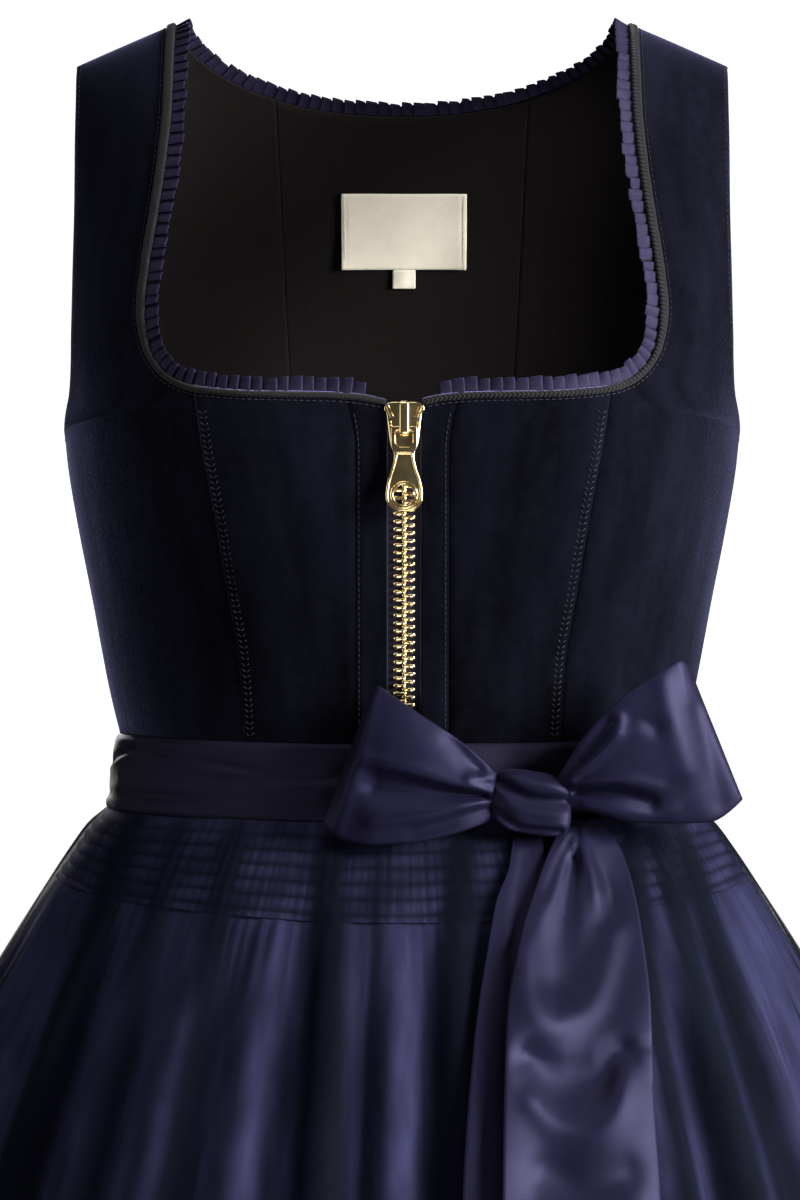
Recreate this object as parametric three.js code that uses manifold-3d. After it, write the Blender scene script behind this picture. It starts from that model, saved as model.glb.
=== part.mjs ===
// A dirndl: velvet bodice with a zip, gathered skirt, smocked apron under net, satin sash with a bow.
// Millimetres, +Z up, the front faces -Y. The origin lies midway between the tops of the two straps.
import * as THREE from 'three';
import Module from 'manifold-3d';

// Driving dimensions
const WAIST_Z = -368;            // seam of bodice and skirt
const SKIRT_LENGTH = 650;
const APRON_LENGTH = 610;
const SEAM_GAP = 0.3;            // between neighbouring pieces
const VELVET = 1.6;              // wall thicknesses
const LINING = 1.0;
const LINING_GAP = 0.4;
const SKIRT_CLOTH = 1.2;
const APRON_CLOTH = 1.0;
const SATIN_TIE = 1.2;
const SASH_WALL = 2.2;
const SECTION_POWER = 2.35;      // roundness of the body's horizontal section, 2 is an ellipse
const NECK_X = 108.5;            // neck edge of the strap at the shoulder
const SHOULDER_SLOPE = 0.44;
const SHOULDER_SLOPE_FROM = 104;
const SHOULDER_FADE = 60;
const BUST = { x: 80, h: -222, forward: 9, wide: 42, tall: 55 };
const ZIP = { x: 0.9, halfOpening: 8.3, tapeHalf: 15, tapeFrom: 0.2, hinge: -200.9 };
const RUCHE = { wide: 7, pleat: 5.9, wave: 0.7, level: -0.8, thick: 1.0, from: 17 };
const BINDING = { lift: 0.3, thick: 1.0, front: 2.8, side: 4.5 };
const FOLDS = 36;                // gathers round the skirt
const FOLD_DEPTH = 0.15;         // of a fold's own width
const FOLD_START = 35;           // drop below the waist where the gathers open
const FOLD_GROWTH = 90;          // further drop to their full depth
const FOLD_UNEVEN = [{ turns: 3, size: 0.9, shift: 1 }, { turns: 7, size: 0.6, shift: 0 }];
const SASH = { top: -343, bottom: -379, frontDrop: 3, clear: 0.5 };
const SMOCK = { rows: 6, columns: 28, side: 33, centre: 45 };
const SMOCK_OUT = { inner: 1.5, groove: 2.5, ridge: 3.1, topInner: 1.05, topOuter: 2.05 };
const APRON_EDGE = 105;          // degrees round from the front centre
const SHOULDER_SEAM_H = -0.0005; // leaves half the seam's gap on each side

// Body sections: depth of the front and back and half-width at height h
const BODY = [
  { h: 0, front: 0, back: 0, side: 170 },
  { h: -8, front: 24, back: 26, side: 170 },
  { h: -30, front: 48, back: 52, side: 170 },
  { h: -70, front: 73, back: 75, side: 170 },
  { h: -115, front: 94, back: 91, side: 170 },
  { h: -150, front: 108, back: 98, side: 170 },
  { h: -165, front: 112, back: 100, side: 168 },
  { h: -180, front: 115.5, back: 101.5, side: 165 },
  { h: -200, front: 118.5, back: 103, side: 161.6 },
  { h: -215, front: 120, back: 103, side: 160 },
  { h: -245, front: 118.5, back: 100, side: 155 },
  { h: -280, front: 112, back: 95, side: 148.3 },
  { h: -317, front: 104.5, back: 91, side: 141 },
  { h: -332, front: 102, back: 89.5, side: 137.6 },
  { h: -345, front: 99.8, back: 88.2, side: 134.4 },
  { h: -368, front: 97, back: 87, side: 130.5 },
];

// Velvet's neck edge in front (x) and the armhole or side seam on the same row (side),
// from the shoulder to the top of the front seam
const NECK_FRONT = [
  { x: 108.5, h: SHOULDER_SEAM_H, side: SHOULDER_SEAM_H },
  { x: 108.5, h: -2.5, side: -2.5 },
  { x: 108.5, h: -9, side: -9 },
  { x: 108.5, h: -22, side: -22 },
  { x: 108.7, h: -44, side: -44 },
  { x: 111, h: -72, side: -72 },
  { x: 114, h: -95, side: -95 },
  { x: 118, h: -121, side: -121 },
  { x: 120, h: -142, side: -142 },
  { x: 118.5, h: -158, side: -158 },
  { x: 113, h: -170, side: -172 },
  { x: 104, h: -177.5, side: -184 },
  { x: 97.1, h: -180, side: -193 },
];

// Rows of the front side panel below the neck: height on the front seam and on the side
const FRONT_ROWS = [
  { h: -188, side: -200 },
  { h: -203, side: -212 },
  { h: -222, side: -228 },
  { h: -245, side: -248 },
  { h: -270, side: -271 },
  { h: -295, side: -295 },
  { h: -320, side: -320 },
  { h: -345, side: -345 },
  { h: -367.85, side: -367.85 },
];

// Front seam, from the neck to the waist
const FRONT_SEAM = [
  { h: -180, x: 97 },
  { h: -206, x: 93 },
  { h: -242, x: 86.3 },
  { h: -279, x: 80.3 },
  { h: -306, x: 75.9 },
  { h: -343, x: 73.8 },
  { h: -368, x: 73 },
];

// Bottom of the front neck, from the zip outwards
const NECK_BOTTOM = [
  { x: 7, h: -187.5 },
  { x: 17, h: -185.2 },
  { x: 30, h: -184 },
  { x: 70, h: -183 },
  { x: 92, h: -181 },
  { x: 97, h: -180 },
];

// Seam between zip placket and front centre
const PLACKET_SEAM = [
  { h: -184, x: 26.6 },
  { h: -195, x: 23.4 },
  { h: -210, x: 21.5 },
  { h: -368, x: 21.5 },
];

// Armhole edge: angle round the section at height h, 90 is the side
const ARMHOLE = [
  { h: 0, angle: 62.1 },
  { h: -80, angle: 61.7 },
  { h: -120, angle: 62.1 },
  { h: -150, angle: 62.6 },
  { h: -165, angle: 64.7 },
  { h: -180, angle: 69.2 },
  { h: -190, angle: 75.5 },
  { h: -197, angle: 82.5 },
  { h: -200, angle: 90 },
];

// Back neck edge from the shoulder to the back seam, and the armhole height on the same row
const NECK_BACK = [
  { x: 108.5, h: SHOULDER_SEAM_H, side: SHOULDER_SEAM_H },
  { x: 107.8, h: -3.2, side: -3.2 },
  { x: 106, h: -6.8, side: -9 },
  { x: 103, h: -10.8, side: -18 },
  { x: 97, h: -16.5, side: -32 },
  { x: 88, h: -22.5, side: -50 },
  { x: 76, h: -28.4, side: -70 },
  { x: 62.15, h: -33.3, side: -92 },
];

// Rows of the back side panel below the neck
const BACK_ROWS = [
  { h: -60, side: -115 },
  { h: -90, side: -138 },
  { h: -120, side: -160 },
  { h: -150, side: -180 },
  { h: -172, side: -193 },
  { h: -190, side: -200 },
  { h: -212, side: -216 },
  { h: -240, side: -242 },
  { h: -272, side: -272 },
  { h: -305, side: -305 },
  { h: -345, side: -345 },
  { h: -367.85, side: -367.85 },
];

// Back seam, from the neck to the waist
const BACK_SEAM = [
  { h: -33, x: 62 },
  { h: -150, x: 57 },
  { h: -280, x: 47 },
  { h: -368, x: 42 },
];

// Skirt reaches at a drop below the waist: start + slope * drop + flare * (1 - exp(-drop / fade))
const SKIRT = {
  side: { start: 130.5, slope: 0.22, flare: 88, fade: 150 },
  front: { start: 97, slope: 0.2, flare: 85, fade: 170 },
  back: { start: 87, slope: 0.24, flare: 95, fade: 130 },
};
const SKIRT_ROUNDING = { by: 0.25, fade: 120 };

// Finishes
const VELVET_NAVY = finish(0x11101b, 0.9, 0);
const LINING_BROWN = finish(0x1b1715, 0.9, 0);
const SATIN_NAVY = finish(0x2b294a, 0.35, 0);
const RUCHE_SATIN = finish(0x2c2940, 0.45, 0);
const BRAID = finish(0x16151c, 0.8, 0);
const NET = finish(0x10131c, 0.8, 0);
const SKIRT_NAVY = finish(0x13142a, 0.8, 0);
const TAPE = finish(0x0b0b12, 0.8, 0);
const BRASS = finish(0xd8b36a, 0.25, 1);
const LABEL = finish(0xe8e2d4, 0.7, 0);

function finish(color, roughness, metalness) {
  return new THREE.MeshStandardMaterial({ color, roughness, metalness });
}

// Monotone cubic through a table's rows, in the table's own column called axis
function along(rows, axis, column, at) {
  const sign = Math.sign(rows[rows.length - 1][axis] - rows[0][axis]);
  const t = rows.map((row) => sign * row[axis]);
  const v = rows.map((row) => row[column]);
  const x = sign * at;
  if (x <= t[0]) return v[0];
  if (x >= t[t.length - 1]) return v[v.length - 1];
  let i = 0;
  while (x > t[i + 1]) i += 1;
  const slope = (k) => (v[k + 1] - v[k]) / (t[k + 1] - t[k]);
  const tangent = (k) => {
    if (k === 0) return slope(0);
    if (k === t.length - 1) return slope(k - 1);
    const [a, b] = [slope(k - 1), slope(k)];
    return a * b <= 0 ? 0 : (2 * a * b) / (a + b);
  };
  const step = t[i + 1] - t[i];
  const f = (x - t[i]) / step;
  const rise = f * f * (3 - 2 * f);
  const startPull = tangent(i) * step * f * (1 - f) * (1 - f);
  const endPull = tangent(i + 1) * step * f * f * (1 - f);
  return v[i] + (v[i + 1] - v[i]) * rise + startPull - endPull;
}

const mix = (a, b, f) => a + (b - a) * f;
const radians = (degrees) => (degrees * Math.PI) / 180;
const step01 = (t) => {
  const c = Math.min(1, Math.max(0, t));
  return c * c * (3 - 2 * c);
};

// The section's depth share at the width share, and the angle that has them
const depthShare = (width, power) => Math.pow(Math.max(0, 1 - Math.pow(width, power)), 1 / power);
const angleOf = (x, h) => {
  const width = Math.min(1, x / sectionAt(h).side);
  return Math.atan2(width, depthShare(width, SECTION_POWER));
};

const BODY_BY_ROOT = BODY.map((row) => ({ ...row, root: Math.sqrt(-row.h) }));
function sectionAt(h) {
  const root = Math.sqrt(Math.max(0, -h));
  return {
    front: along(BODY_BY_ROOT, 'root', 'front', root),
    back: along(BODY_BY_ROOT, 'root', 'back', root),
    side: along(BODY_BY_ROOT, 'root', 'side', root),
  };
}

// A point of a superellipse: angle 0 is the front centre, 90 degrees the right side, 180 the back
function onSection(section, angle, power) {
  const s = Math.sin(angle);
  const c = Math.cos(angle);
  const reach = Math.pow(Math.pow(Math.abs(s), power) + Math.pow(Math.abs(c), power), -1 / power);
  return [section.side * s * reach, -(c > 0 ? section.front : section.back) * c * reach];
}

// The velvet's outer surface at height h, before the shoulder's slope, and angle round
function torso(h, angle) {
  const [x, y] = onSection(sectionAt(h), angle, SECTION_POWER);
  const across = Math.exp(-(((Math.abs(x) - BUST.x) / BUST.wide) ** 2));
  const mound = BUST.forward * across * Math.exp(-(((h - BUST.h) / BUST.tall) ** 2));
  const past = Math.abs(x) - SHOULDER_SLOPE_FROM;
  const slope = SHOULDER_SLOPE * 0.5 * (past + Math.sqrt(past * past + 36));
  const forward = Math.cos(angle) > 0 ? mound : 0;
  return new THREE.Vector3(x, y - forward, h - slope * Math.exp(h / SHOULDER_FADE));
}

function torsoNormal(h, angle) {
  const root = Math.sqrt(Math.max(0, -h));
  const small = 0.05;
  const low = torso(-((root + small) ** 2), angle);
  const high = torso(-(Math.max(0, root - small) ** 2), angle);
  const down = low.sub(high);
  const round = torso(h, angle + 0.002).sub(torso(h, angle - 0.002));
  return round.cross(down).normalize().negate();
}

// A place on the velvet: its point and outward normal
function place(h, angle) {
  return { point: torso(h, angle), normal: torsoNormal(h, angle) };
}
const moved = (spot, distance) => spot.point.clone().addScaledVector(spot.normal, distance);

// Skirt: half-width and depths at a drop below the waist
function skirtSection(drop) {
  const reach = (row) => row.start + row.slope * drop + row.flare * (1 - Math.exp(-drop / row.fade));
  return { side: reach(SKIRT.side), front: reach(SKIRT.front), back: reach(SKIRT.back) };
}
const skirtPower = (drop) => SECTION_POWER - SKIRT_ROUNDING.by * (1 - Math.exp(-drop / SKIRT_ROUNDING.fade));
function skirtBase(drop, angle) {
  const [x, y] = onSection(skirtSection(drop), angle, skirtPower(drop));
  return new THREE.Vector3(x, y, WAIST_Z - drop);
}

// Gathers: the wave's phase round the skirt, uneven as gathers are, and its depth
const uneven = (angle) => FOLD_UNEVEN.reduce((sum, w) => sum + w.size * Math.sin(w.turns * angle + w.shift), 0);
const foldPhase = (angle) => FOLDS * angle + uneven(angle);
const foldRamp = (drop) => step01((drop - FOLD_START) / FOLD_GROWTH);
function foldWave(drop, angle) {
  const small = 0.01;
  const span = skirtBase(drop, angle + small).distanceTo(skirtBase(drop, angle - small)) / (2 * small);
  const turns = (foldPhase(angle + small) - foldPhase(angle - small)) / (2 * small);
  const width = (2 * Math.PI * span) / turns;
  return FOLD_DEPTH * width * foldRamp(drop) * Math.cos(foldPhase(angle));
}
function skirt(drop, angle) {
  const small = 0.002;
  const round = skirtBase(drop, angle + small).sub(skirtBase(drop, angle - small));
  const out = new THREE.Vector3(round.y, -round.x, 0).normalize();
  return skirtBase(drop, angle).addScaledVector(out, foldWave(drop, angle));
}
function skirtPlace(drop, angle) {
  const round = skirt(drop, angle + 0.002).sub(skirt(drop, angle - 0.002));
  const down = skirt(drop + 1, angle).sub(skirt(Math.max(0, drop - 1), angle));
  const normal = down.cross(round).normalize();
  if (normal.x * Math.sin(angle) - normal.y * Math.cos(angle) < 0) normal.negate();
  return { point: skirt(drop, angle), normal };
}

// Angles where the wave is at 45, 135, 225 and 315 degrees, the corners of each fold
function foldCorners(from, to) {
  const fine = 7200;
  const angles = [];
  const first = Math.ceil((foldPhase(from) / (Math.PI / 2)) - 0.5);
  let wanted = first;
  for (let i = 0; i < fine; i += 1) {
    const angle = mix(from, to, i / fine);
    const phase = (wanted + 0.5) * (Math.PI / 2);
    if (foldPhase(angle) >= phase) {
      angles.push(angle);
      wanted += 1;
    }
  }
  return angles;
}

// A closed wall from two grids of points, joined round their four edges
function wall(outer, inner) {
  const rows = outer.length;
  const cols = outer[0].length;
  const points = [...outer.flat(), ...inner.flat()];
  const at = (side, i, j) => side * rows * cols + i * cols + j;
  const faces = [];
  const quad = (a, b, c, d) => faces.push(a, b, c, a, c, d);
  for (let i = 0; i < rows - 1; i += 1) {
    for (let j = 0; j < cols - 1; j += 1) {
      quad(at(0, i, j), at(0, i + 1, j), at(0, i + 1, j + 1), at(0, i, j + 1));
      quad(at(1, i, j), at(1, i, j + 1), at(1, i + 1, j + 1), at(1, i + 1, j));
    }
    quad(at(0, i, 0), at(1, i, 0), at(1, i + 1, 0), at(0, i + 1, 0));
    quad(at(0, i, cols - 1), at(0, i + 1, cols - 1), at(1, i + 1, cols - 1), at(1, i, cols - 1));
  }
  for (let j = 0; j < cols - 1; j += 1) {
    quad(at(0, 0, j), at(0, 0, j + 1), at(1, 0, j + 1), at(1, 0, j));
    quad(at(0, rows - 1, j), at(1, rows - 1, j), at(1, rows - 1, j + 1), at(0, rows - 1, j + 1));
  }
  return solid(points, faces);
}

// A closed ring: each row of the two grids runs all the way round
function ring(outer, inner) {
  const rows = outer.length;
  const cols = outer[0].length;
  const points = [...outer.flat(), ...inner.flat()];
  const at = (side, i, j) => side * rows * cols + i * cols + (j % cols);
  const faces = [];
  const quad = (a, b, c, d) => faces.push(a, b, c, a, c, d);
  for (let j = 0; j < cols; j += 1) {
    for (let i = 0; i < rows - 1; i += 1) {
      quad(at(0, i, j), at(0, i + 1, j), at(0, i + 1, j + 1), at(0, i, j + 1));
      quad(at(1, i, j), at(1, i, j + 1), at(1, i + 1, j + 1), at(1, i + 1, j));
    }
    quad(at(0, 0, j), at(0, 0, j + 1), at(1, 0, j + 1), at(1, 0, j));
    quad(at(0, rows - 1, j), at(1, rows - 1, j), at(1, rows - 1, j + 1), at(0, rows - 1, j + 1));
  }
  return solid(points, faces);
}

// A geometry whose faces point out, whichever way they were wound
function solid(points, faces) {
  let volume = 0;
  for (let i = 0; i < faces.length; i += 3) {
    const [a, b, c] = [points[faces[i]], points[faces[i + 1]], points[faces[i + 2]]];
    volume += a.dot(b.clone().cross(c));
  }
  if (volume < 0) faces.reverse();
  const geometry = new THREE.BufferGeometry();
  const numbers = points.flatMap((p) => [p.x, p.y, p.z]);
  geometry.setAttribute('position', new THREE.Float32BufferAttribute(numbers, 3));
  geometry.setIndex(faces);
  return geometry;
}

// A wall of even thickness round a grid of points on its middle
function thick(grid, thickness) {
  const rows = grid.length;
  const cols = grid[0].length;
  const clamp = (value, top) => Math.min(top, Math.max(0, value));
  const normal = (i, j) => {
    const a = grid[clamp(i + 1, rows - 1)][j].clone().sub(grid[clamp(i - 1, rows - 1)][j]);
    const b = grid[i][clamp(j + 1, cols - 1)].clone().sub(grid[i][clamp(j - 1, cols - 1)]);
    return a.cross(b).normalize();
  };
  const side = (half) => grid.map((row, i) => row.map((p, j) => p.clone().addScaledVector(normal(i, j), half)));
  return wall(side(thickness / 2), side(-thickness / 2));
}

const dirndl = new THREE.Group();
dirndl.name = 'dirndl';
function add(name, geometry, material) {
  const mesh = new THREE.Mesh(geometry, material);
  mesh.name = name;
  dirndl.add(mesh);
  return mesh;
}
function mirrored(geometry) {
  const copy = geometry.clone();
  copy.scale(-1, 1, 1);
  const order = Array.from(copy.index.array).reverse();
  copy.setIndex(order);
  return copy;
}
const flipped = (p) => new THREE.Vector3(-p.x, p.y, p.z);

// A row of places from an edge to the far side, with a narrow first column under the binding
const COLUMN_SHARES = [0.28, 0.52, 0.76, 1];
function panelRow(edge, far, band, tangent) {
  const start = place(edge.h, edge.angle);
  const end = place(far.h, far.angle);
  const inward = start.normal.clone().cross(tangent).normalize();
  if (inward.dot(end.point.clone().sub(start.point)) < 0) inward.negate();
  const second = { point: start.point.clone().addScaledVector(inward, band), normal: start.normal };
  const rest = COLUMN_SHARES.map((f) => place(mix(edge.h, far.h, f), mix(edge.angle, far.angle, f)));
  return { spots: [start, second, ...rest], inward };
}

function tangents(edges, corner) {
  const points = edges.map((edge) => torso(edge.h, edge.angle));
  return points.map((p, i) => {
    if (edges[i].h >= SHOULDER_SEAM_H) return new THREE.Vector3(0, 1, 0);
    const before = i === corner + 1 ? i : Math.max(0, i - 1);
    const after = i === corner ? i : Math.min(points.length - 1, i + 1);
    return points[after].clone().sub(points[before]);
  });
}

function sidePanel(neck, rows, seam, back) {
  const turn = (angle) => (back ? Math.PI - angle : angle);
  const farAngle = (h) => turn(radians(h <= -200 ? 90 - 0.05 : along(ARMHOLE, 'h', 'angle', h)));
  const edges = neck.map((row) => ({ h: row.h, angle: turn(angleOf(row.x, row.h)), side: row.side }));
  for (const row of rows) {
    const x = along(seam, 'h', 'x', row.h) + SEAM_GAP / 2;
    edges.push({ h: row.h, angle: turn(angleOf(x, row.h)), side: row.side });
  }
  const corner = neck.length - 1;
  const lines = tangents(edges, corner);
  const widths = edges.map((_, i) => mix(BINDING.side, BINDING.front, back ? 0 : step01((i - 8) / 4)));
  return edges.map((edge, i) => {
    const far = { h: edge.side, angle: farAngle(edge.side) };
    return panelRow(edge, far, widths[i], lines[i]);
  });
}

const wallOf = (rows, from, to) => {
  const grid = (distance) => rows.map((spots) => spots.map((spot) => moved(spot, distance)));
  return wall(grid(from), grid(to));
};

// Bodice panels for the right side, then mirrored for the left
const frontSide = sidePanel(NECK_FRONT, FRONT_ROWS, FRONT_SEAM, false);
const backSide = sidePanel(NECK_BACK, BACK_ROWS, BACK_SEAM, true);

function addSides() {
  const front = wallOf(frontSide.map((row) => row.spots), 0, -VELVET);
  add('front_side_right', front, VELVET_NAVY);
  add('front_side_left', mirrored(front), VELVET_NAVY);
  const back = wallOf(backSide.map((row) => row.spots), 0, -VELVET);
  add('back_side_right', back, VELVET_NAVY);
  add('back_side_left', mirrored(back), VELVET_NAVY);
}

// A panel under a top edge: columns at shares of the width, rows from the edge to the waist
function hungPanel(shares, heights, topOf, leftOf, rightOf, turn, band) {
  const xAt = (share, h) => mix(leftOf(h), rightOf(h), share);
  const spotAt = (share, h) => {
    const x = xAt(share, h);
    const angle = angleOf(Math.abs(x), h) * Math.sign(x || 1);
    return place(h, turn ? Math.PI - angle : angle);
  };
  const columns = shares.map((share) => {
    let h = topOf(xAt(share, leftOf.start));
    h = topOf(xAt(share, h));
    const top = spotAt(share, h);
    const below = spotAt(share, h - 1).point.sub(top.point).normalize();
    const second = { point: top.point.clone().addScaledVector(below, band), normal: top.normal };
    return [top, second, ...heights.map((height) => spotAt(share, height))];
  });
  return columns[0].map((_, i) => columns.map((column) => column[i]));
}
function edgeLine(rows, shift) {
  const line = (h) => along(rows, 'h', 'x', h) + shift;
  line.start = rows[0].h;
  return line;
}
function steadyLine(x, start) {
  const line = () => x;
  line.start = start;
  return line;
}

const neckBottom = (x) => along(NECK_BOTTOM, 'x', 'h', Math.abs(x));
const FRONT_HEIGHTS = [-195, -210, -228, -250, -275, -300, -325, -345, -367.85];
const frontCentre = hungPanel([0, 0.2, 0.4, 0.6, 0.8, 1], FRONT_HEIGHTS, neckBottom,
  edgeLine(PLACKET_SEAM, SEAM_GAP / 2), edgeLine(FRONT_SEAM, -SEAM_GAP / 2), false, BINDING.front);
const zipEdge = (side) => steadyLine(ZIP.halfOpening + side * ZIP.x, NECK_BOTTOM[0].h);
const placketRows = (side) => hungPanel([0, 1], FRONT_HEIGHTS, neckBottom,
  zipEdge(side), edgeLine(PLACKET_SEAM, -SEAM_GAP / 2), false, BINDING.front);

function addFront() {
  const centre = wallOf(frontCentre, 0, -VELVET);
  add('front_centre_right', centre, VELVET_NAVY);
  add('front_centre_left', mirrored(centre), VELVET_NAVY);
  add('zip_placket_right', wallOf(placketRows(1), 0, -VELVET), VELVET_NAVY);
  add('zip_placket_left', mirrored(wallOf(placketRows(-1), 0, -VELVET)), VELVET_NAVY);
}

// Back centre panel and the lining behind all three back panels
const backNeck = (x) => -41 * Math.pow(1 - Math.pow(Math.abs(x) / NECK_X, 2.2), 0.6);
const BACK_HEIGHTS = [-56, -74, -124, -165, -205, -245, -285, -320, -345, -367.85];
const CENTRE_SHARES = [0, 0.25, 0.5, 0.75, 1];
const backLeft = (shift) => {
  const line = (h) => -along(BACK_SEAM, 'h', 'x', h) + shift;
  line.start = -34;
  return line;
};
const backCentre = hungPanel(CENTRE_SHARES, BACK_HEIGHTS, backNeck,
  backLeft(SEAM_GAP / 2), edgeLine(BACK_SEAM, -SEAM_GAP / 2), true, BINDING.side);
const LINING_SIDE_ROWS = [0, 2, 4, 6, 7, 8, 9, 11, 12, 13, 15, 17, 18, 19];
const LINING_SIDE_COLUMNS = [0, 2, 4, 5];
const LINING_CENTRE_ROWS = [0, 3, 4, 6, 8, 10, 11];
const LINING_CENTRE_COLUMNS = [0, 1, 2, 3, 4];
const picked = (rows, wanted, columns) => wanted.map((i) => columns.map((j) => rows[i][j]));
const LINING_OUT = -(VELVET + LINING_GAP);

function addBack() {
  add('back_centre', wallOf(backCentre, 0, -VELVET), VELVET_NAVY);
  const side = picked(backSide.map((row) => row.spots), LINING_SIDE_ROWS, LINING_SIDE_COLUMNS);
  const sideWall = wallOf(side, LINING_OUT, LINING_OUT - LINING);
  add('lining_right', sideWall, LINING_BROWN);
  add('lining_left', mirrored(sideWall), LINING_BROWN);
  const centre = picked(backCentre, LINING_CENTRE_ROWS, LINING_CENTRE_COLUMNS);
  add('lining_centre', wallOf(centre, LINING_OUT, LINING_OUT - LINING), LINING_BROWN);
}

// Neck stations round the right half, from the zip to the back centre: edge, second column, inward
function neckStations(side) {
  const stations = [];
  const put = (edge, second) => {
    const last = stations[stations.length - 1];
    if (last && last.edge.point.distanceTo(edge.point) < 1) return;
    stations.push({ edge, second });
  };
  for (const spots of [placketRows(side), frontCentre]) {
    spots[0].forEach((spot, j) => put(spot, spots[1][j]));
  }
  for (let i = NECK_FRONT.length - 1; i >= 0; i -= 1) put(frontSide[i].spots[0], frontSide[i].spots[1]);
  for (let i = 0; i < NECK_BACK.length; i += 1) put(backSide[i].spots[0], backSide[i].spots[1]);
  for (let j = CENTRE_SHARES.length - 1; j >= (CENTRE_SHARES.length - 1) / 2; j -= 1) {
    put(backCentre[0][j], backCentre[1][j]);
  }
  return stations;
}
const flipSpot = (spot) => ({ point: flipped(spot.point), normal: flipped(spot.normal) });
function neckRound() {
  const right = neckStations(1);
  const left = neckStations(-1).slice(0, -1);
  const turned = left.reverse().map((s) => ({ edge: flipSpot(s.edge), second: flipSpot(s.second) }));
  return [...right, ...turned];
}

function addBinding(stations) {
  const line = (key, lift) => stations.map((station) => station[key].point.clone()
    .addScaledVector(station.edge.normal, lift));
  const under = BINDING.lift;
  const over = BINDING.lift + BINDING.thick;
  add('neck_binding', wall([line('edge', over), line('second', over)],
    [line('edge', under), line('second', under)]), BRAID);
}

// The ruche: a satin strip folded into knife pleats, standing out of the neck edge
function addRuche(stations) {
  const spans = [0];
  for (let i = 1; i < stations.length; i += 1) {
    spans.push(spans[i - 1] + stations[i].edge.point.distanceTo(stations[i - 1].edge.point));
  }
  const at = (length) => {
    let i = 0;
    while (i < spans.length - 2 && length > spans[i + 1]) i += 1;
    const f = (length - spans[i]) / (spans[i + 1] - spans[i]);
    const [a, b] = [stations[i], stations[i + 1]];
    const outOf = (s) => s.edge.point.clone().sub(s.second.point).normalize();
    return {
      point: a.edge.point.clone().lerp(b.edge.point, f),
      normal: a.edge.normal.clone().lerp(b.edge.normal, f).normalize(),
      out: outOf(a).lerp(outOf(b), f).normalize(),
    };
  };
  const reached = (s) => Math.abs(s.edge.point.x) > RUCHE.from && s.edge.point.y < 0;
  const firstIn = stations.findIndex(reached);
  const across = (i) => Math.abs(stations[i].edge.point.x);
  const share = (RUCHE.from - across(firstIn - 1)) / (across(firstIn) - across(firstIn - 1));
  const start = mix(spans[firstIn - 1], spans[firstIn], share);
  const end = spans[spans.length - 1] - start;
  const pleats = Math.round((end - start) / RUCHE.pleat);
  const rows = { inTop: [], outTop: [], inLow: [], outLow: [] };
  for (let k = 0; k <= 2 * pleats; k += 1) {
    const pleat = Math.floor(k / 2);
    const share = k % 2 === 0 ? 0 : 0.72;
    const spot = at(mix(start, end, (pleat + share) / pleats));
    const level = RUCHE.level + (k % 2 === 0 ? -RUCHE.wave : RUCHE.wave);
    const corner = (out, rise) => spot.point.clone().addScaledVector(spot.out, out)
      .addScaledVector(spot.normal, level + rise);
    rows.inTop.push(corner(SEAM_GAP, RUCHE.thick / 2));
    rows.outTop.push(corner(SEAM_GAP + RUCHE.wide, RUCHE.thick / 2));
    rows.inLow.push(corner(SEAM_GAP, -RUCHE.thick / 2));
    rows.outLow.push(corner(SEAM_GAP + RUCHE.wide, -RUCHE.thick / 2));
  }
  add('neck_ruche', wall([rows.inTop, rows.outTop], [rows.inLow, rows.outLow]), RUCHE_SATIN);
}

// Zip: tapes under the placket edges, the slider with its bridge, and the pull
function addTape(side) {
  const heights = [-188.5, ...FRONT_HEIGHTS.slice(0, -1), -367.85];
  const spot = (x, h) => place(h, angleOf(Math.abs(x), h) * Math.sign(x));
  const rows = heights.map((h) => [ZIP.tapeFrom, ZIP.tapeHalf].map((x) => spot(x + side * ZIP.x, h)));
  const depth = VELVET + SEAM_GAP;
  const tape = wallOf(rows, -depth, -depth - LINING);
  return side > 0 ? tape : mirrored(tape);
}

const SLIDER_OUTLINE = [
  { half: 5.8, up: 12.6 },
  { half: 9.2, up: 9.6 },
  { half: 8.9, up: 6.5 },
  { half: 7.6, up: 2 },
  { half: 6.4, up: -6 },
  { half: 5.2, up: -9.6 },
  { half: 3.4, up: -10.8 },
];
const SLIDER = { low: 0.3, high: 1.8, coreLow: -1.5, coreShare: 0.72, bridgeHalf: 2.3 };
const BRIDGE_SIDE = [
  { up: 12.4, out: 1 },
  { up: 12.4, out: 4.2 },
  { up: 10.6, out: 5.8 },
  { up: -2.2, out: 5.8 },
  { up: -3.4, out: 4.8 },
  { up: -3.4, out: 1 },
  { up: -2.2, out: 1 },
  { up: -2.2, out: 4.6 },
  { up: 10.0, out: 4.6 },
  { up: 10.7, out: 3.8 },
  { up: 10.7, out: 1 },
];
const PULL_OUTLINE = [
  { half: 5.4, up: 0.9 },
  { half: 6.0, up: 0.3 },
  { half: 6.0, up: -8.6 },
  { half: 4.6, up: -11.4 },
  { half: 4.7, up: -14 },
  { half: 6.6, up: -21 },
  { half: 8.2, up: -27 },
  { half: 8.5, up: -31 },
  { half: 7.6, up: -35 },
  { half: 5.2, up: -37.6 },
  { half: 2.0, up: -38.4 },
];
const PULL = { middle: 3.2, thick: 1.6, windowHalf: 4.0, windowTop: -0.9, windowLow: -8.6,
  corner: 2, hole: 4.75, holeUp: -30.9, holeSides: 16 };

function outline(rows) {
  const right = rows.map((row) => new THREE.Vector2(row.half, row.up));
  const left = [...rows].reverse().map((row) => new THREE.Vector2(-row.half, row.up));
  return new THREE.Shape([...right, ...left]);
}

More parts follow.
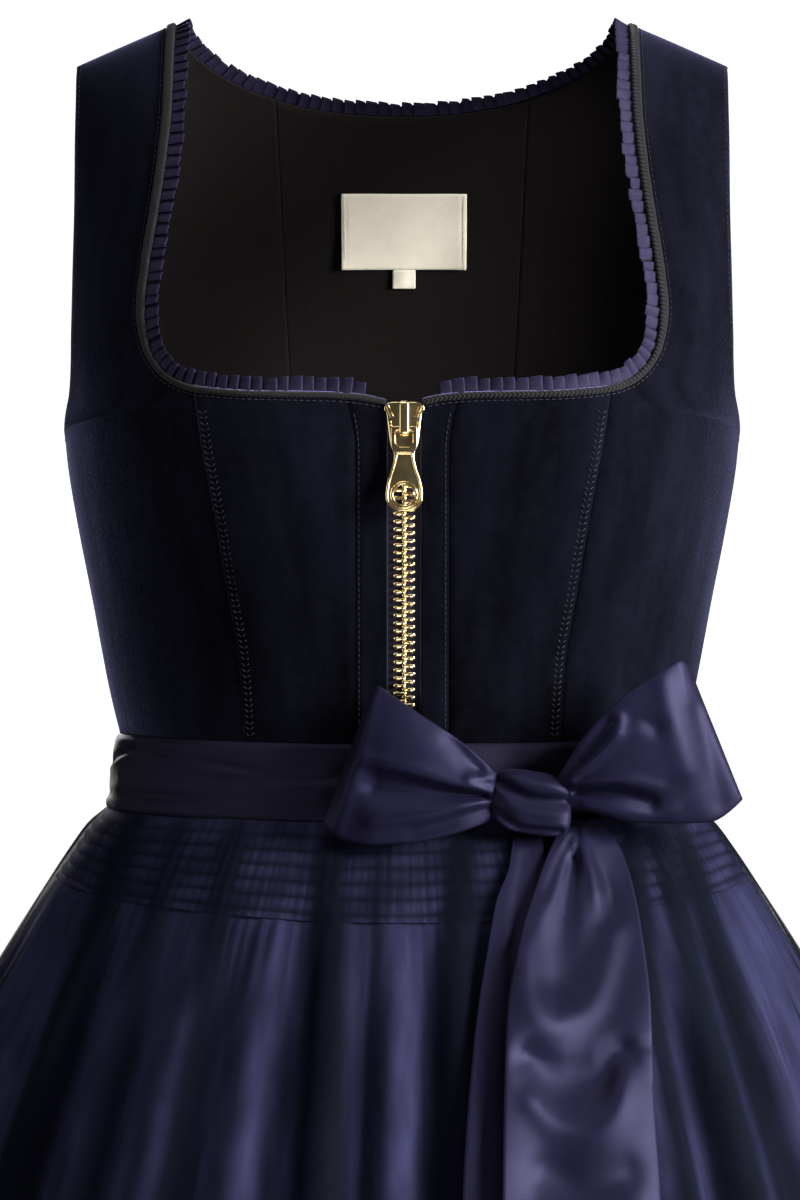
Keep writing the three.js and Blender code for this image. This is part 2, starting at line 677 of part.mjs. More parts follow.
// The zip's own frame at the slider: x across, y up along the zip, z out of the cloth
function zipFrame() {
  const spot = place(ZIP.hinge, 0);
  const across = new THREE.Vector3(1, 0, 0);
  const up = spot.normal.clone().cross(across).normalize();
  const out = across.clone().cross(up);
  const matrix = new THREE.Matrix4().makeBasis(across, up, out);
  matrix.setPosition(ZIP.x, spot.point.y, spot.point.z);
  return matrix;
}

async function sliderGeometry() {
  const wasm = await Module();
  wasm.setup();
  const asSolid = (geometry) => {
    const flat = geometry.index ? geometry.toNonIndexed() : geometry;
    const position = flat.attributes.position;
    const seen = new Map();
    const vertices = [];
    const triangles = [];
    for (let i = 0; i < position.count; i += 1) {
      const exact = [position.getX(i), position.getY(i), position.getZ(i)];
      const p = exact.map((value) => Math.round(value * 1e4) / 1e4);
      const key = p.join();
      if (!seen.has(key)) {
        seen.set(key, vertices.length / 3);
        vertices.push(...p);
      }
      triangles.push(seen.get(key));
    }
    const vertProperties = new Float32Array(vertices);
    const triVerts = new Uint32Array(triangles);
    return new wasm.Manifold(new wasm.Mesh({ numProp: 3, vertProperties, triVerts }));
  };
  const plate = (low, share) => {
    const shape = outline(SLIDER_OUTLINE);
    const block = new THREE.ExtrudeGeometry(shape, { depth: SLIDER.high - low, bevelEnabled: false });
    block.scale(share, share, 1);
    block.translate(0, 0, low);
    return block;
  };
  const shield = plate(SLIDER.low, 1);
  const core = plate(SLIDER.coreLow, SLIDER.coreShare);
  const side = new THREE.Shape(BRIDGE_SIDE.map((corner) => new THREE.Vector2(corner.up, corner.out)));
  const bridge = new THREE.ExtrudeGeometry(side, { depth: 2 * SLIDER.bridgeHalf, bevelEnabled: false });
  bridge.applyMatrix4(new THREE.Matrix4().makeBasis(
    new THREE.Vector3(0, 1, 0), new THREE.Vector3(0, 0, 1), new THREE.Vector3(1, 0, 0)));
  bridge.translate(-SLIDER.bridgeHalf, 0, 0);
  const joined = asSolid(shield).add(asSolid(core)).add(asSolid(bridge)).getMesh();
  const geometry = new THREE.BufferGeometry();
  geometry.setAttribute('position', new THREE.BufferAttribute(joined.vertProperties, 3));
  geometry.setIndex(new THREE.BufferAttribute(joined.triVerts, 1));
  return geometry;
}

function pullGeometry() {
  const shape = outline(PULL_OUTLINE);
  const { windowHalf: half, windowTop: top, windowLow: low, corner } = PULL;
  const windowCorners = [[-half, top], [-half, low + corner], [corner - half, low],
    [half - corner, low], [half, low + corner], [half, top]];
  const window = new THREE.Path(windowCorners.map(([x, y]) => new THREE.Vector2(x, y)));
  const hole = new THREE.Path(Array.from({ length: PULL.holeSides }, (_, i) => {
    const turn = (2 * Math.PI * i) / PULL.holeSides;
    return new THREE.Vector2(PULL.hole * Math.cos(turn), PULL.holeUp + PULL.hole * Math.sin(turn));
  }));
  shape.holes.push(window, hole);
  const geometry = new THREE.ExtrudeGeometry(shape, { depth: PULL.thick, bevelEnabled: false });
  geometry.translate(0, 0, PULL.middle - PULL.thick / 2);
  return geometry;
}

async function addZip() {
  add('zip_tape_right', addTape(1), TAPE);
  add('zip_tape_left', addTape(-1), TAPE);
  const frame = zipFrame();
  add('zip_slider', await sliderGeometry(), BRASS).applyMatrix4(frame);
  add('zip_pull', pullGeometry(), BRASS).applyMatrix4(frame);
}

// The woven label and its size tab on the inside of the back lining
const LABEL_SIZE = { wide: 62, top: -77, bottom: -114, x: 1, lift: 0.6, thick: 1.0 };
const TAB_SIZE = { wide: 11, top: -114.4, bottom: -123.4, x: 1, lift: 0.6, thick: 1.0 };
function addLabel(name, size, columns) {
  const [upper, lower] = [BACK_HEIGHTS[1], BACK_HEIGHTS[2]];
  const spotAt = (x, h) => {
    const share = (h - upper) / (lower - upper);
    const onRow = (row) => place(row, Math.PI - angleOf(Math.abs(x), row) * Math.sign(x || 1));
    const [a, b] = [onRow(upper), onRow(lower)];
    const normal = a.normal.clone().lerp(b.normal, share).normalize();
    return { point: a.point.clone().lerp(b.point, share), normal };
  };
  const xs = Array.from({ length: columns }, (_, i) => size.x + size.wide * (i / (columns - 1) - 0.5));
  const rows = [size.top, size.bottom].map((h) => xs.map((x) => spotAt(x, h)));
  const outer = LINING_OUT - LINING - size.lift;
  add(name, wallOf(rows, outer, outer - size.thick), LABEL);
}

// Skirt gores and the apron's layers
const SKIRT_DROPS = [0.15, 30, 90, 250, SKIRT_LENGTH];
function goreAngles(from, to) {
  const inside = foldCorners(from, to).filter((a) => a > from + 0.012 && a < to - 0.012);
  return [from, ...inside, to];
}
function addGore(name, from, to) {
  const angles = goreAngles(from, to);
  const edgeShift = (angle, drop) => {
    const span = skirtBase(drop, angle + 0.01).distanceTo(skirtBase(drop, angle - 0.01)) / 0.02;
    return SEAM_GAP / 2 / span;
  };
  const rows = SKIRT_DROPS.map((drop) => angles.map((angle, j) => {
    const last = angles.length - 1;
    const shift = j === 0 ? edgeShift(angle, drop) : 0;
    const back = j === last ? edgeShift(angle, drop) : 0;
    return skirtPlace(drop, angle + shift - back);
  }));
  add(name, wallOf(rows, SKIRT_CLOTH / 2, -SKIRT_CLOTH / 2), SKIRT_NAVY);
}

const frontShare = (angle) => Math.max(0, Math.cos(angle)) ** 2;
const sashLow = (angle) => WAIST_Z - SASH.bottom + SASH.frontDrop * frontShare(angle);
const smockTop = (angle) => sashLow(angle) + SEAM_GAP;
const smockLow = (angle) => smockTop(angle) + mix(SMOCK.side, SMOCK.centre, frontShare(angle));

function addSmocking() {
  const lines = 2 * SMOCK.rows + 1;
  const line = (i, distance) => Array.from({ length: SMOCK.columns + 1 }, (_, j) => {
    const angle = radians(mix(-APRON_EDGE, APRON_EDGE, j / SMOCK.columns));
    const drop = mix(smockTop(angle), smockLow(angle), i / lines);
    const point = moved(skirtPlaceFlat(drop, angle), distance);
    point.z = WAIST_Z - drop;
    return point;
  });
  const full = (i) => Math.min(1, i / 3);
  const relief = (i) => (i % 2 === 0 ? SMOCK_OUT.groove : SMOCK_OUT.ridge);
  const outer = [];
  const inner = [];
  for (let i = 0; i <= lines; i += 1) {
    outer.push(line(i, mix(SMOCK_OUT.topOuter, relief(i), full(i))));
    inner.push(line(i, mix(SMOCK_OUT.topInner, SMOCK_OUT.inner, full(i))));
  }
  add('apron_smocking', wall(outer, inner), SATIN_NAVY);
}
function skirtPlaceFlat(drop, angle) {
  const round = skirtBase(drop, angle + 0.002).sub(skirtBase(drop, angle - 0.002));
  const down = skirtBase(drop + 1, angle).sub(skirtBase(Math.max(0, drop - 1), angle));
  const normal = down.cross(round).normalize();
  if (normal.x * Math.sin(angle) - normal.y * Math.cos(angle) < 0) normal.negate();
  return { point: skirtBase(drop, angle), normal };
}

const SATIN_OUT = 1.5;
const NET_OUT = { seam: 2.3, top: 4.2, low: 3.4 };
function addApron(name, topOf, drops, outOf, material) {
  const angles = foldCorners(radians(-APRON_EDGE), radians(APRON_EDGE));
  const rows = [topOf, ...drops.map((drop) => () => drop)].map((dropOf) => angles.map((angle) => ({
    ...skirtPlace(dropOf(angle), angle), drop: dropOf(angle),
  })));
  const grid = (extra) => rows.map((spots, i) => spots.map((spot) => {
    const point = moved(spot, outOf(spot.drop) + extra);
    if (i === 0) point.z = WAIST_Z - spot.drop;
    return point;
  }));
  add(name, wall(grid(APRON_CLOTH), grid(0)), material);
}

function addSkirt() {
  addGore('skirt_front', -Math.PI / 2, Math.PI / 2);
  addGore('skirt_back_right', Math.PI / 2, Math.PI);
  addGore('skirt_back_left', Math.PI, 1.5 * Math.PI);
  addSmocking();
  const satinTop = (angle) => smockLow(angle) + SEAM_GAP;
  addApron('apron_satin', satinTop, [90, 250, APRON_LENGTH], () => SATIN_OUT, SATIN_NAVY);
  const netOut = (drop) => (drop < 20 ? NET_OUT.seam : mix(NET_OUT.top, NET_OUT.low, step01((drop - 60) / 60)));
  addApron('apron_net', smockTop, [22, 62, 90, 250, APRON_LENGTH], netOut, NET);
}

// Sash: a flat folded band round the waist
function addSash() {
  const columns = 40;
  const lines = 2;
  const onSash = (share, angle, extra) => {
    const topH = SASH.top - SASH.frontDrop * frontShare(angle);
    const upper = moved(place(topH, angle), SASH.clear + extra);
    const lower = moved(skirtPlaceFlat(sashLow(angle), angle), SKIRT_CLOTH / 2 + SASH.clear + extra);
    upper.z = topH;
    lower.z = WAIST_Z - sashLow(angle);
    return upper.lerp(lower, share);
  };
  const angles = Array.from({ length: columns }, (_, j) => radians((360 * j) / columns));
  const rows = (extra) => [0, 1, 2].map((i) => angles.map((angle) => onSash(i / lines, angle, extra)));
  add('sash', ring(rows(SASH_WALL), rows(0)), SATIN_NAVY);
}

// Bow loops: a ribbon goes out, turns and comes back; each row is a line across the ribbon
const LOOP_LEFT = [
  { topX: 40.9, topY: -117, topZ: -357, lowX: 40.9, lowY: -119, lowZ: -379, bulge: 2 },
  { topX: 28, topY: -118, topZ: -345, lowX: 24, lowY: -123, lowZ: -385.5, bulge: 5 },
  { topX: 8.7, topY: -119, topZ: -332, lowX: 5, lowY: -125, lowZ: -389.5, bulge: 8 },
  { topX: -3, topY: -118, topZ: -324, lowX: -12, lowY: -125, lowZ: -390.8, bulge: 9 },
  { topX: -11, topY: -115, topZ: -319, lowX: -28, lowY: -123, lowZ: -388, bulge: 7 },
  { topX: -14, topY: -111.5, topZ: -322, lowX: -36, lowY: -120, lowZ: -381, bulge: 1 },
  { topX: -9, topY: -108.5, topZ: -325, lowX: -30, lowY: -117.5, lowZ: -383, bulge: -2 },
  { topX: 8, topY: -108, topZ: -334, lowX: 2, lowY: -117.5, lowZ: -385, bulge: -2 },
  { topX: 28, topY: -107.5, topZ: -350, lowX: 26, lowY: -116, lowZ: -381, bulge: 0 },
  { topX: 40.9, topY: -106, topZ: -360, lowX: 40.9, lowY: -111, lowZ: -377, bulge: 0 },
];
const LOOP_RIGHT = [
  { topX: 74.9, topY: -113, topZ: -363, lowX: 74.9, lowY: -117, lowZ: -371, bulge: 2 },
  { topX: 84, topY: -119, topZ: -341, lowX: 90, lowY: -117, lowZ: -376.5, bulge: 5 },
  { topX: 97, topY: -120, topZ: -327, lowX: 104, lowY: -115, lowZ: -380.5, bulge: 8 },
  { topX: 114, topY: -117, topZ: -315, lowX: 122, lowY: -110, lowZ: -381.5, bulge: 10 },
  { topX: 128, topY: -111, topZ: -307, lowX: 142, lowY: -103, lowZ: -381, bulge: 8 },
  { topX: 133, topY: -105, topZ: -313, lowX: 157, lowY: -96, lowZ: -371, bulge: 2 },
  { topX: 126, topY: -100, topZ: -318, lowX: 146, lowY: -91, lowZ: -374, bulge: -1 },
  { topX: 112, topY: -99, topZ: -326, lowX: 124, lowY: -94, lowZ: -377, bulge: -1 },
  { topX: 94, topY: -101, topZ: -342, lowX: 100, lowY: -100, lowZ: -375, bulge: 0 },
  { topX: 75.2, topY: -106, topZ: -366, lowX: 75.2, lowY: -105, lowZ: -369, bulge: 0 },
];
function addLoop(name, rows) {
  const columns = 5;
  const grid = rows.map((row) => Array.from({ length: columns + 1 }, (_, j) => {
    const f = j / columns;
    const out = row.bulge * Math.sin(Math.PI * f);
    const [x, y, z] = [mix(row.topX, row.lowX, f), mix(row.topY, row.lowY, f), mix(row.topZ, row.lowZ, f)];
    return new THREE.Vector3(x, y - out, z);
  }));
  add(name, thick(grid, SATIN_TIE), SATIN_NAVY);
}

// Knot: a tight wrap, rounded, with a few deep creases
const KNOT = { x: 59, y: -111.6, z: -372.5, wide: 17.6, deep: 10, tall: 15.6, crease: 0.1, lean: 0.45 };
function addKnot() {
  const around = 18;
  const rings = 8;
  const points = [];
  const onKnot = (lat, lon) => {
    const soft = (value) => Math.sign(value) * Math.pow(Math.abs(value), 0.75);
    const crease = 1 - KNOT.crease * (0.5 + 0.5 * Math.cos(3 * lon + 2 * lat));
    const flat = soft(Math.cos(lat)) * crease;
    const up = KNOT.tall * soft(Math.sin(lat));
    return new THREE.Vector3(
      KNOT.x + KNOT.wide * flat * soft(Math.cos(lon)),
      KNOT.y + KNOT.deep * flat * soft(Math.sin(lon)) + KNOT.lean * Math.min(0, up),
      KNOT.z + up);
  };
  for (let i = 1; i < rings; i += 1) {
    const lat = Math.PI * (i / rings - 0.5);
    for (let j = 0; j < around; j += 1) points.push(onKnot(lat, (2 * Math.PI * j) / around));
  }
  const low = points.push(new THREE.Vector3(KNOT.x, KNOT.y - KNOT.lean * KNOT.tall, KNOT.z - KNOT.tall)) - 1;
  const top = points.push(new THREE.Vector3(KNOT.x, KNOT.y, KNOT.z + KNOT.tall)) - 1;
  const faces = [];
  const at = (i, j) => i * around + (j % around);
  for (let j = 0; j < around; j += 1) {
    faces.push(low, at(0, j + 1), at(0, j));
    faces.push(top, at(rings - 2, j), at(rings - 2, j + 1));
    for (let i = 0; i < rings - 2; i += 1) {
      faces.push(at(i, j), at(i, j + 1), at(i + 1, j + 1), at(i, j), at(i + 1, j + 1), at(i + 1, j));
    }
  }
  add('bow_knot', solid(points, faces), SATIN_NAVY);
}

// Tie ends hang over the apron: left and right edge at a drop below the waist
const END_FRONT = [
  { drop: 17, left: 72, right: 90, rise: 5, wave: 0 },
  { drop: 27, left: 67, right: 100, rise: 2, wave: 2 },
  { drop: 42, left: 61, right: 105.5, rise: 0, wave: 4 },
  { drop: 62, left: 54, right: 109, rise: 0, wave: 5 },
  { drop: 93, left: 47.5, right: 112, rise: 0, wave: 6 },
  { drop: 134, left: 45.5, right: 112.6, rise: 0, wave: 5 },
  { drop: 175, left: 44.5, right: 114.8, rise: 0, wave: 6 },
  { drop: 280, left: 43, right: 117, rise: 0, wave: 6 },
  { drop: 400, left: 44, right: 119, rise: 0, wave: 5 },
  { drop: 560, left: 46, right: 122, rise: 0, wave: 3 },
];
const END_BACK = [
  { drop: 19.5, left: 51, right: 64, rise: 0, wave: 0 },
  { drop: 33, left: 49, right: 66, rise: 0, wave: 0.2 },
  { drop: 48, left: 43, right: 70, rise: 0, wave: 0.4 },
  { drop: 60, left: 40.5, right: 76, rise: 0, wave: 0.6 },
  { drop: 108, left: 32.5, right: 84, rise: 0, wave: 0.8 },
  { drop: 175, left: 27, right: 90, rise: 0, wave: 0.9 },
  { drop: 280, left: 24, right: 92, rise: 0, wave: 0.9 },
  { drop: 400, left: 22, right: 93, rise: 0, wave: 0.9 },
  { drop: 500, left: 20, right: 94, rise: 0, wave: 0.9 },
];
const END_LIFT = { front: 3.9, back: 1.2 };
function apronFront(x, drop) {
  const base = (across, down) => {
    const section = skirtSection(down);
    return -section.front * depthShare(Math.min(1, Math.abs(across) / section.side), skirtPower(down));
  };
  const aside = (base(x + 1, drop) - base(x - 1, drop)) / 2;
  const flare = (base(x, drop + 1) - base(x, drop - 1)) / 2;
  const ridge = (FOLD_DEPTH * 2 * Math.PI * skirtSection(drop).front * foldRamp(drop) * 1.1) / FOLDS;
  const out = NET_OUT.top + APRON_CLOTH + ridge;
  return base(x, drop) - out * Math.hypot(1, aside, flare);
}
function addEnd(name, rows, lift, turns) {
  const columns = 6;
  const grid = rows.map((row) => Array.from({ length: columns + 1 }, (_, j) => {
    const f = j / columns;
    const x = mix(row.left, row.right, f);
    const wave = row.wave * (0.5 - 0.5 * Math.cos(2 * Math.PI * (f * turns + row.drop / 260)));
    const drop = row.drop - row.rise * f;
    return new THREE.Vector3(x, apronFront(x, drop) - lift - wave, WAIST_Z - drop);
  }));
  add(name, thick(grid, SATIN_TIE), SATIN_NAVY);
}

addSides();
addFront();
addBack();
const neck = neckRound();
addBinding(neck);
addRuche(neck);
await addZip();
addLabel('label', LABEL_SIZE, 4);
addLabel('size_tab', TAB_SIZE, 2);
addSkirt();
addSash();
addLoop('bow_loop_left', LOOP_LEFT);
addLoop('bow_loop_right', LOOP_RIGHT);
addKnot();
addEnd('tie_end_back', END_BACK, END_LIFT.back, 1);
addEnd('tie_end_front', END_FRONT, END_LIFT.front, 1.6);

export default dirndl;
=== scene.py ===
# %% [markdown]
# # A dirndl, from its frame to its finish
#
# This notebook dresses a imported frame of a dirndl: a velvet bodice with a brass zip and a pleated neck,
# a gathered skirt, a smocked satin apron under a layer of net, and a satin sash tied in a bow.
# Every cloth here is worked out as a surface of two parameters, computed as whole numpy arrays.
# Sizes are in millimetres until a mesh is made, because that is how a dressmaker thinks of them.

import bmesh
import bpy
import numpy as np
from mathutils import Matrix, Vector


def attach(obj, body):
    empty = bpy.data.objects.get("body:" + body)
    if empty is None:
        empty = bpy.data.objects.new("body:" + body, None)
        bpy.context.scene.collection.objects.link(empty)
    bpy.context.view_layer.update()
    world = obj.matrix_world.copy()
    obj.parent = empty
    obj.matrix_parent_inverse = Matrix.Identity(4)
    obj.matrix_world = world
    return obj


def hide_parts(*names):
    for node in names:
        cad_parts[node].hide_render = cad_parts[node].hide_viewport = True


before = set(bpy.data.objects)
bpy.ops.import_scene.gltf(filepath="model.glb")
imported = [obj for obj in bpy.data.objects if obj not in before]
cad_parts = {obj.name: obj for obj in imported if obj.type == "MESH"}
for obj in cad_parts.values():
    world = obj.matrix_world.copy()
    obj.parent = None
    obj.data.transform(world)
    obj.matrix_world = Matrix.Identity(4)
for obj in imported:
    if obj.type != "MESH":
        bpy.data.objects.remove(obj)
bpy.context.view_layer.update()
MM = 0.001

# %% [markdown]
# ## Curves through a table
#
# The body's sections, seams and edges are short tables, as they are on a paper pattern. A monotone cubic
# passes through every row and never overshoots between two of them, so a waist stays a waist.

# %% Curves through a table
def along(xs, ys, at):
    """Monotone cubic through (xs, ys). With f the share of a step, and s = f^2 (3 - 2 f), the value is
    v0 + (v1 - v0) s + step (m0 f (1 - f)^2 - m1 f^2 (1 - f)), each tangent m the harmonic mean of the
    slopes beside it."""
    xs, ys = np.asarray(xs, float), np.asarray(ys, float)
    if xs[-1] < xs[0]:
        xs, ys = xs[::-1], ys[::-1]
    step = np.diff(xs)
    slope = np.diff(ys) / step
    tangent = np.concatenate([slope[:1], np.zeros(len(xs) - 2), slope[-1:]])
    both = slope[:-1] * slope[1:]
    total = slope[:-1] + slope[1:]
    tangent[1:-1] = np.where(both > 0, 2 * both / np.where(total == 0, 1, total), 0)
    at = np.clip(at, xs[0], xs[-1])
    i = np.clip(np.searchsorted(xs, at, side="right") - 1, 0, len(step) - 1)
    f = (at - xs[i]) / step[i]
    rise = f * f * (3 - 2 * f)
    pulls = tangent[i] * f * (1 - f) ** 2 - tangent[i + 1] * f * f * (1 - f)
    return ys[i] + (ys[i + 1] - ys[i]) * rise + step[i] * pulls


def mix(a, b, f):
    return a + (b - a) * f


def step01(t):
    """0 below 0, 1 above 1, and the smooth cubic t^2 (3 - 2 t) between."""
    t = np.clip(t, 0, 1)
    return t * t * (3 - 2 * t)


def unit(v):
    return v / np.maximum(np.linalg.norm(v, axis=-1, keepdims=True), 1e-12)


def run_length(points):
    """Distance from the first point to each point of a line."""
    return np.concatenate([[0], np.cumsum(np.linalg.norm(np.diff(points, axis=0), axis=-1))])


def hump(x, middle, wide):
    """A soft bell, exp(-((x - middle) / wide)^2)."""
    return np.exp(-(((x - middle) / wide) ** 2))


def ease(n, pinch=0.75):
    """n shares from 0 to 1, closer together at both ends: a blend of even steps and (1 - cos) / 2."""
    u = np.linspace(0, 1, n)
    return mix(u, 0.5 - 0.5 * np.cos(np.pi * u), pinch)


print("five eased shares of a panel's width:", np.round(ease(5), 3).tolist())

# %% [markdown]
# ## The figure inside the bodice
#
# A bodice is cut to a figure, so its panels share one surface. Each horizontal section is a superellipse,
# an oval a little squarer than an ellipse, with its own depth in front and behind. The shoulders slope,
# and the bust comes forward as two soft mounds shaped by the front seams.

# %% The figure inside the bodice
WAIST = -368.0
POWER = 2.35  # of the superellipse: 2 is an ellipse
BODY = np.array([  # height, front depth, back depth, half-width
    (0, 0, 0, 170), (-8, 24, 26, 170), (-30, 48, 52, 170), (-70, 73, 75, 170), (-115, 94, 91, 170),
    (-150, 108, 98, 170), (-165, 112, 100, 168), (-180, 115.5, 101.5, 165), (-200, 118.5, 103, 161.6),
    (-215, 120, 103, 160), (-245, 118.5, 100, 155), (-280, 112, 95, 148.3), (-317, 104.5, 91, 141),
    (-332, 102, 89.5, 137.6), (-345, 99.8, 88.2, 134.4), (-368, 97, 87, 130.5)])
ROOT = np.sqrt(-BODY[:, 0])


def section(h):
    """Front depth, back depth and half-width at height h, read off the table against sqrt(-h)."""
    root = np.sqrt(np.maximum(0, -np.asarray(h, float)))
    return [along(ROOT, BODY[:, k], root) for k in (1, 2, 3)]


def on_section(front, back, side, angle, power):
    """Superellipse: reach = (|sin|^p + |cos|^p)^(-1/p), x = side sin reach, y = -depth cos reach."""
    s, c = np.sin(angle), np.cos(angle)
    reach = (np.abs(s) ** power + np.abs(c) ** power) ** (-1 / power)
    return side * s * reach, -np.where(c > 0, front, back) * c * reach


def torso(h, angle):
    """The velvet's outer face at height h and angle round from the front centre. The bust is a bell 9 mm
    high, and past 104 mm the shoulder drops by 0.44 of the way out."""
    h, angle = np.broadcast_arrays(np.asarray(h, float), np.asarray(angle, float))
    x, y = on_section(*section(h), angle, POWER)
    mound = 9 * hump(np.abs(x), 80, 42) * hump(h, -222, 55)
    past = np.abs(x) - 104
    slope = 0.44 * 0.5 * (past + np.sqrt(past * past + 36))
    return np.stack([x, y - np.where(np.cos(angle) > 0, mound, 0), h - slope * np.exp(h / 60)], -1)


def torso_normal(h, angle):
    """Outward normal: minus the cross product of the step round and the step down."""
    h, angle = np.broadcast_arrays(np.asarray(h, float), np.asarray(angle, float))
    root = np.sqrt(np.maximum(0, -h))
    down = torso(-((root + 0.05) ** 2), angle) - torso(-(np.maximum(0, root - 0.05) ** 2), angle)
    return unit(-np.cross(torso(h, angle + 0.002) - torso(h, angle - 0.002), down))


def angle_of(x, h):
    """The angle whose point has this x at height h, the inverse of the superellipse."""
    x, h = np.broadcast_arrays(np.asarray(x, float), np.asarray(h, float))
    w = np.clip(np.abs(x) / section(h)[2], 0, 1)
    return np.sign(x) * np.arctan2(w, np.maximum(0, 1 - w**POWER) ** (1 / POWER))


waist_front, waist_back, waist_half = (float(v) for v in section(WAIST))
print("waist", round(2 * waist_half), "mm wide and", round(waist_front + waist_back), "mm deep")

# %% [markdown]
# ## Measuring a grid
#
# A cloth here is a grid of points. From the grid alone come its normals, its area, and its UV, which is
# real distance in metres, so that a weave keeps its size everywhere. Blender could unwrap the mesh
# instead, but a grid already knows its rows and columns, and they are the cloth's own threads.

# %% Measuring a grid
def grid_normals(grid, around=False):
    """Cross product of the central differences down and across, turned to face away from the Z axis."""
    down = np.gradient(grid, axis=0)
    across = (np.roll(grid, -1, 1) - np.roll(grid, 1, 1)) / 2 if around else np.gradient(grid, axis=1)
    normal = unit(np.cross(across, down))
    outward = grid * np.array([1, 1, 0])
    return normal * np.sign(np.sum(normal * outward) or 1)


def arc_uv(grid, gathered=False):
    """u is the distance along each row from its middle, v the distance down each column, in metres. A
    gathered cloth keeps one u down a thread, at the longest row's spacing, so its threads crowd together
    where it is drawn in."""
    u = np.zeros(grid.shape[:2])
    v = np.zeros(grid.shape[:2])
    u[:, 1:] = np.cumsum(np.linalg.norm(np.diff(grid, axis=1), axis=-1), 1)
    v[1:] = np.cumsum(np.linalg.norm(np.diff(grid, axis=0), axis=-1), 0)
    u -= u[:, -1:] / 2
    if gathered:
        u = np.linspace(-0.5, 0.5, grid.shape[1])[None, :] * np.ptp(u, axis=1).max() + 0 * u
    return np.stack([u, v], -1) * MM


def quads_of(rows, cols, around, base=0):
    """Quads of a grid stored row by row; with around, the last column joins the first."""
    i = np.arange(rows - 1)[:, None]
    j = np.arange(cols if around else cols - 1)[None, :]
    k = (j + 1) % cols
    return np.stack([a.ravel() + base for a in np.broadcast_arrays(
        i * cols + j, i * cols + k, (i + 1) * cols + k, (i + 1) * cols + j)], -1)


def cloth_area(grid, around=False):
    """Area of a grid's outer face in square metres, two triangles a quad."""
    q = quads_of(*grid.shape[:2], around)
    p = grid.reshape(-1, 3)
    a, b, c, d = (p[q[:, k]] for k in range(4))
    both = np.linalg.norm(np.cross(b - a, c - a), axis=-1) + np.linalg.norm(np.cross(c - a, d - a), axis=-1)
    return float(both.sum() / 2 * MM * MM)


print("a grid of 3 by 4 points has", len(quads_of(3, 4, False)), "faces")

# %% [markdown]
# ## From points and faces to a mesh
#
# Blender can be handed a mesh as Python lists, but whole numpy arrays go in far faster. The sign of the
# volume shows whether the faces look outwards, and turns them all if they don't.

# %% From points and faces to a mesh
def put_mesh(name, points, quads, materials, uv=None, slots=None, masks=None, smooth=True):
    """A mesh in metres from millimetre points and quads, its faces turned out by the sign of its volume."""
    quads = np.asarray(quads, np.int32)
    a, b, c, d = (points[quads[:, k]] for k in range(4))
    volume = np.sum(a * np.cross(b, c)) + np.sum(a * np.cross(c, d))
    if volume < 0:
        quads = quads[:, ::-1]
    mesh = bpy.data.meshes.new(name)
    mesh.vertices.add(len(points))
    mesh.vertices.foreach_set("co", (points * MM).astype(np.float32).ravel())
    mesh.loops.add(quads.size)
    mesh.loops.foreach_set("vertex_index", quads.ravel())
    mesh.polygons.add(len(quads))
    mesh.polygons.foreach_set("loop_start", np.arange(0, quads.size, 4, dtype=np.int32))
    if slots is not None:
        mesh.polygons.foreach_set("material_index", np.asarray(slots, np.int32))
    mesh.update(calc_edges=True)
    mesh.polygons.foreach_set("use_smooth", np.full(len(quads), smooth))
    if uv is not None:
        layer = mesh.uv_layers.new(name="UVMap")
        layer.data.foreach_set("uv", uv[quads.ravel()].astype(np.float32).ravel())
    for key, values in (masks or {}).items():
        mask = mesh.attributes.new(key, "FLOAT", "POINT")
        mask.data.foreach_set("value", values.astype(np.float32).ravel())
    mesh.validate()
    for material in materials:
        mesh.materials.append(material)
    piece = bpy.data.objects.new(name, mesh)
    bpy.context.collection.objects.link(piece)
    return piece


print("meshes so far:", len(bpy.data.meshes))

# %% [markdown]
# ## From a grid to a cloth
#
# A cloth is a thin shell: a grid of points for its outer face, the same grid moved in by its thickness,
# and a rounded rim between. A Solidify modifier does this with a square rim. Here the rim has one extra
# row pushed outwards, so a cut edge catches the light as a turned edge does.

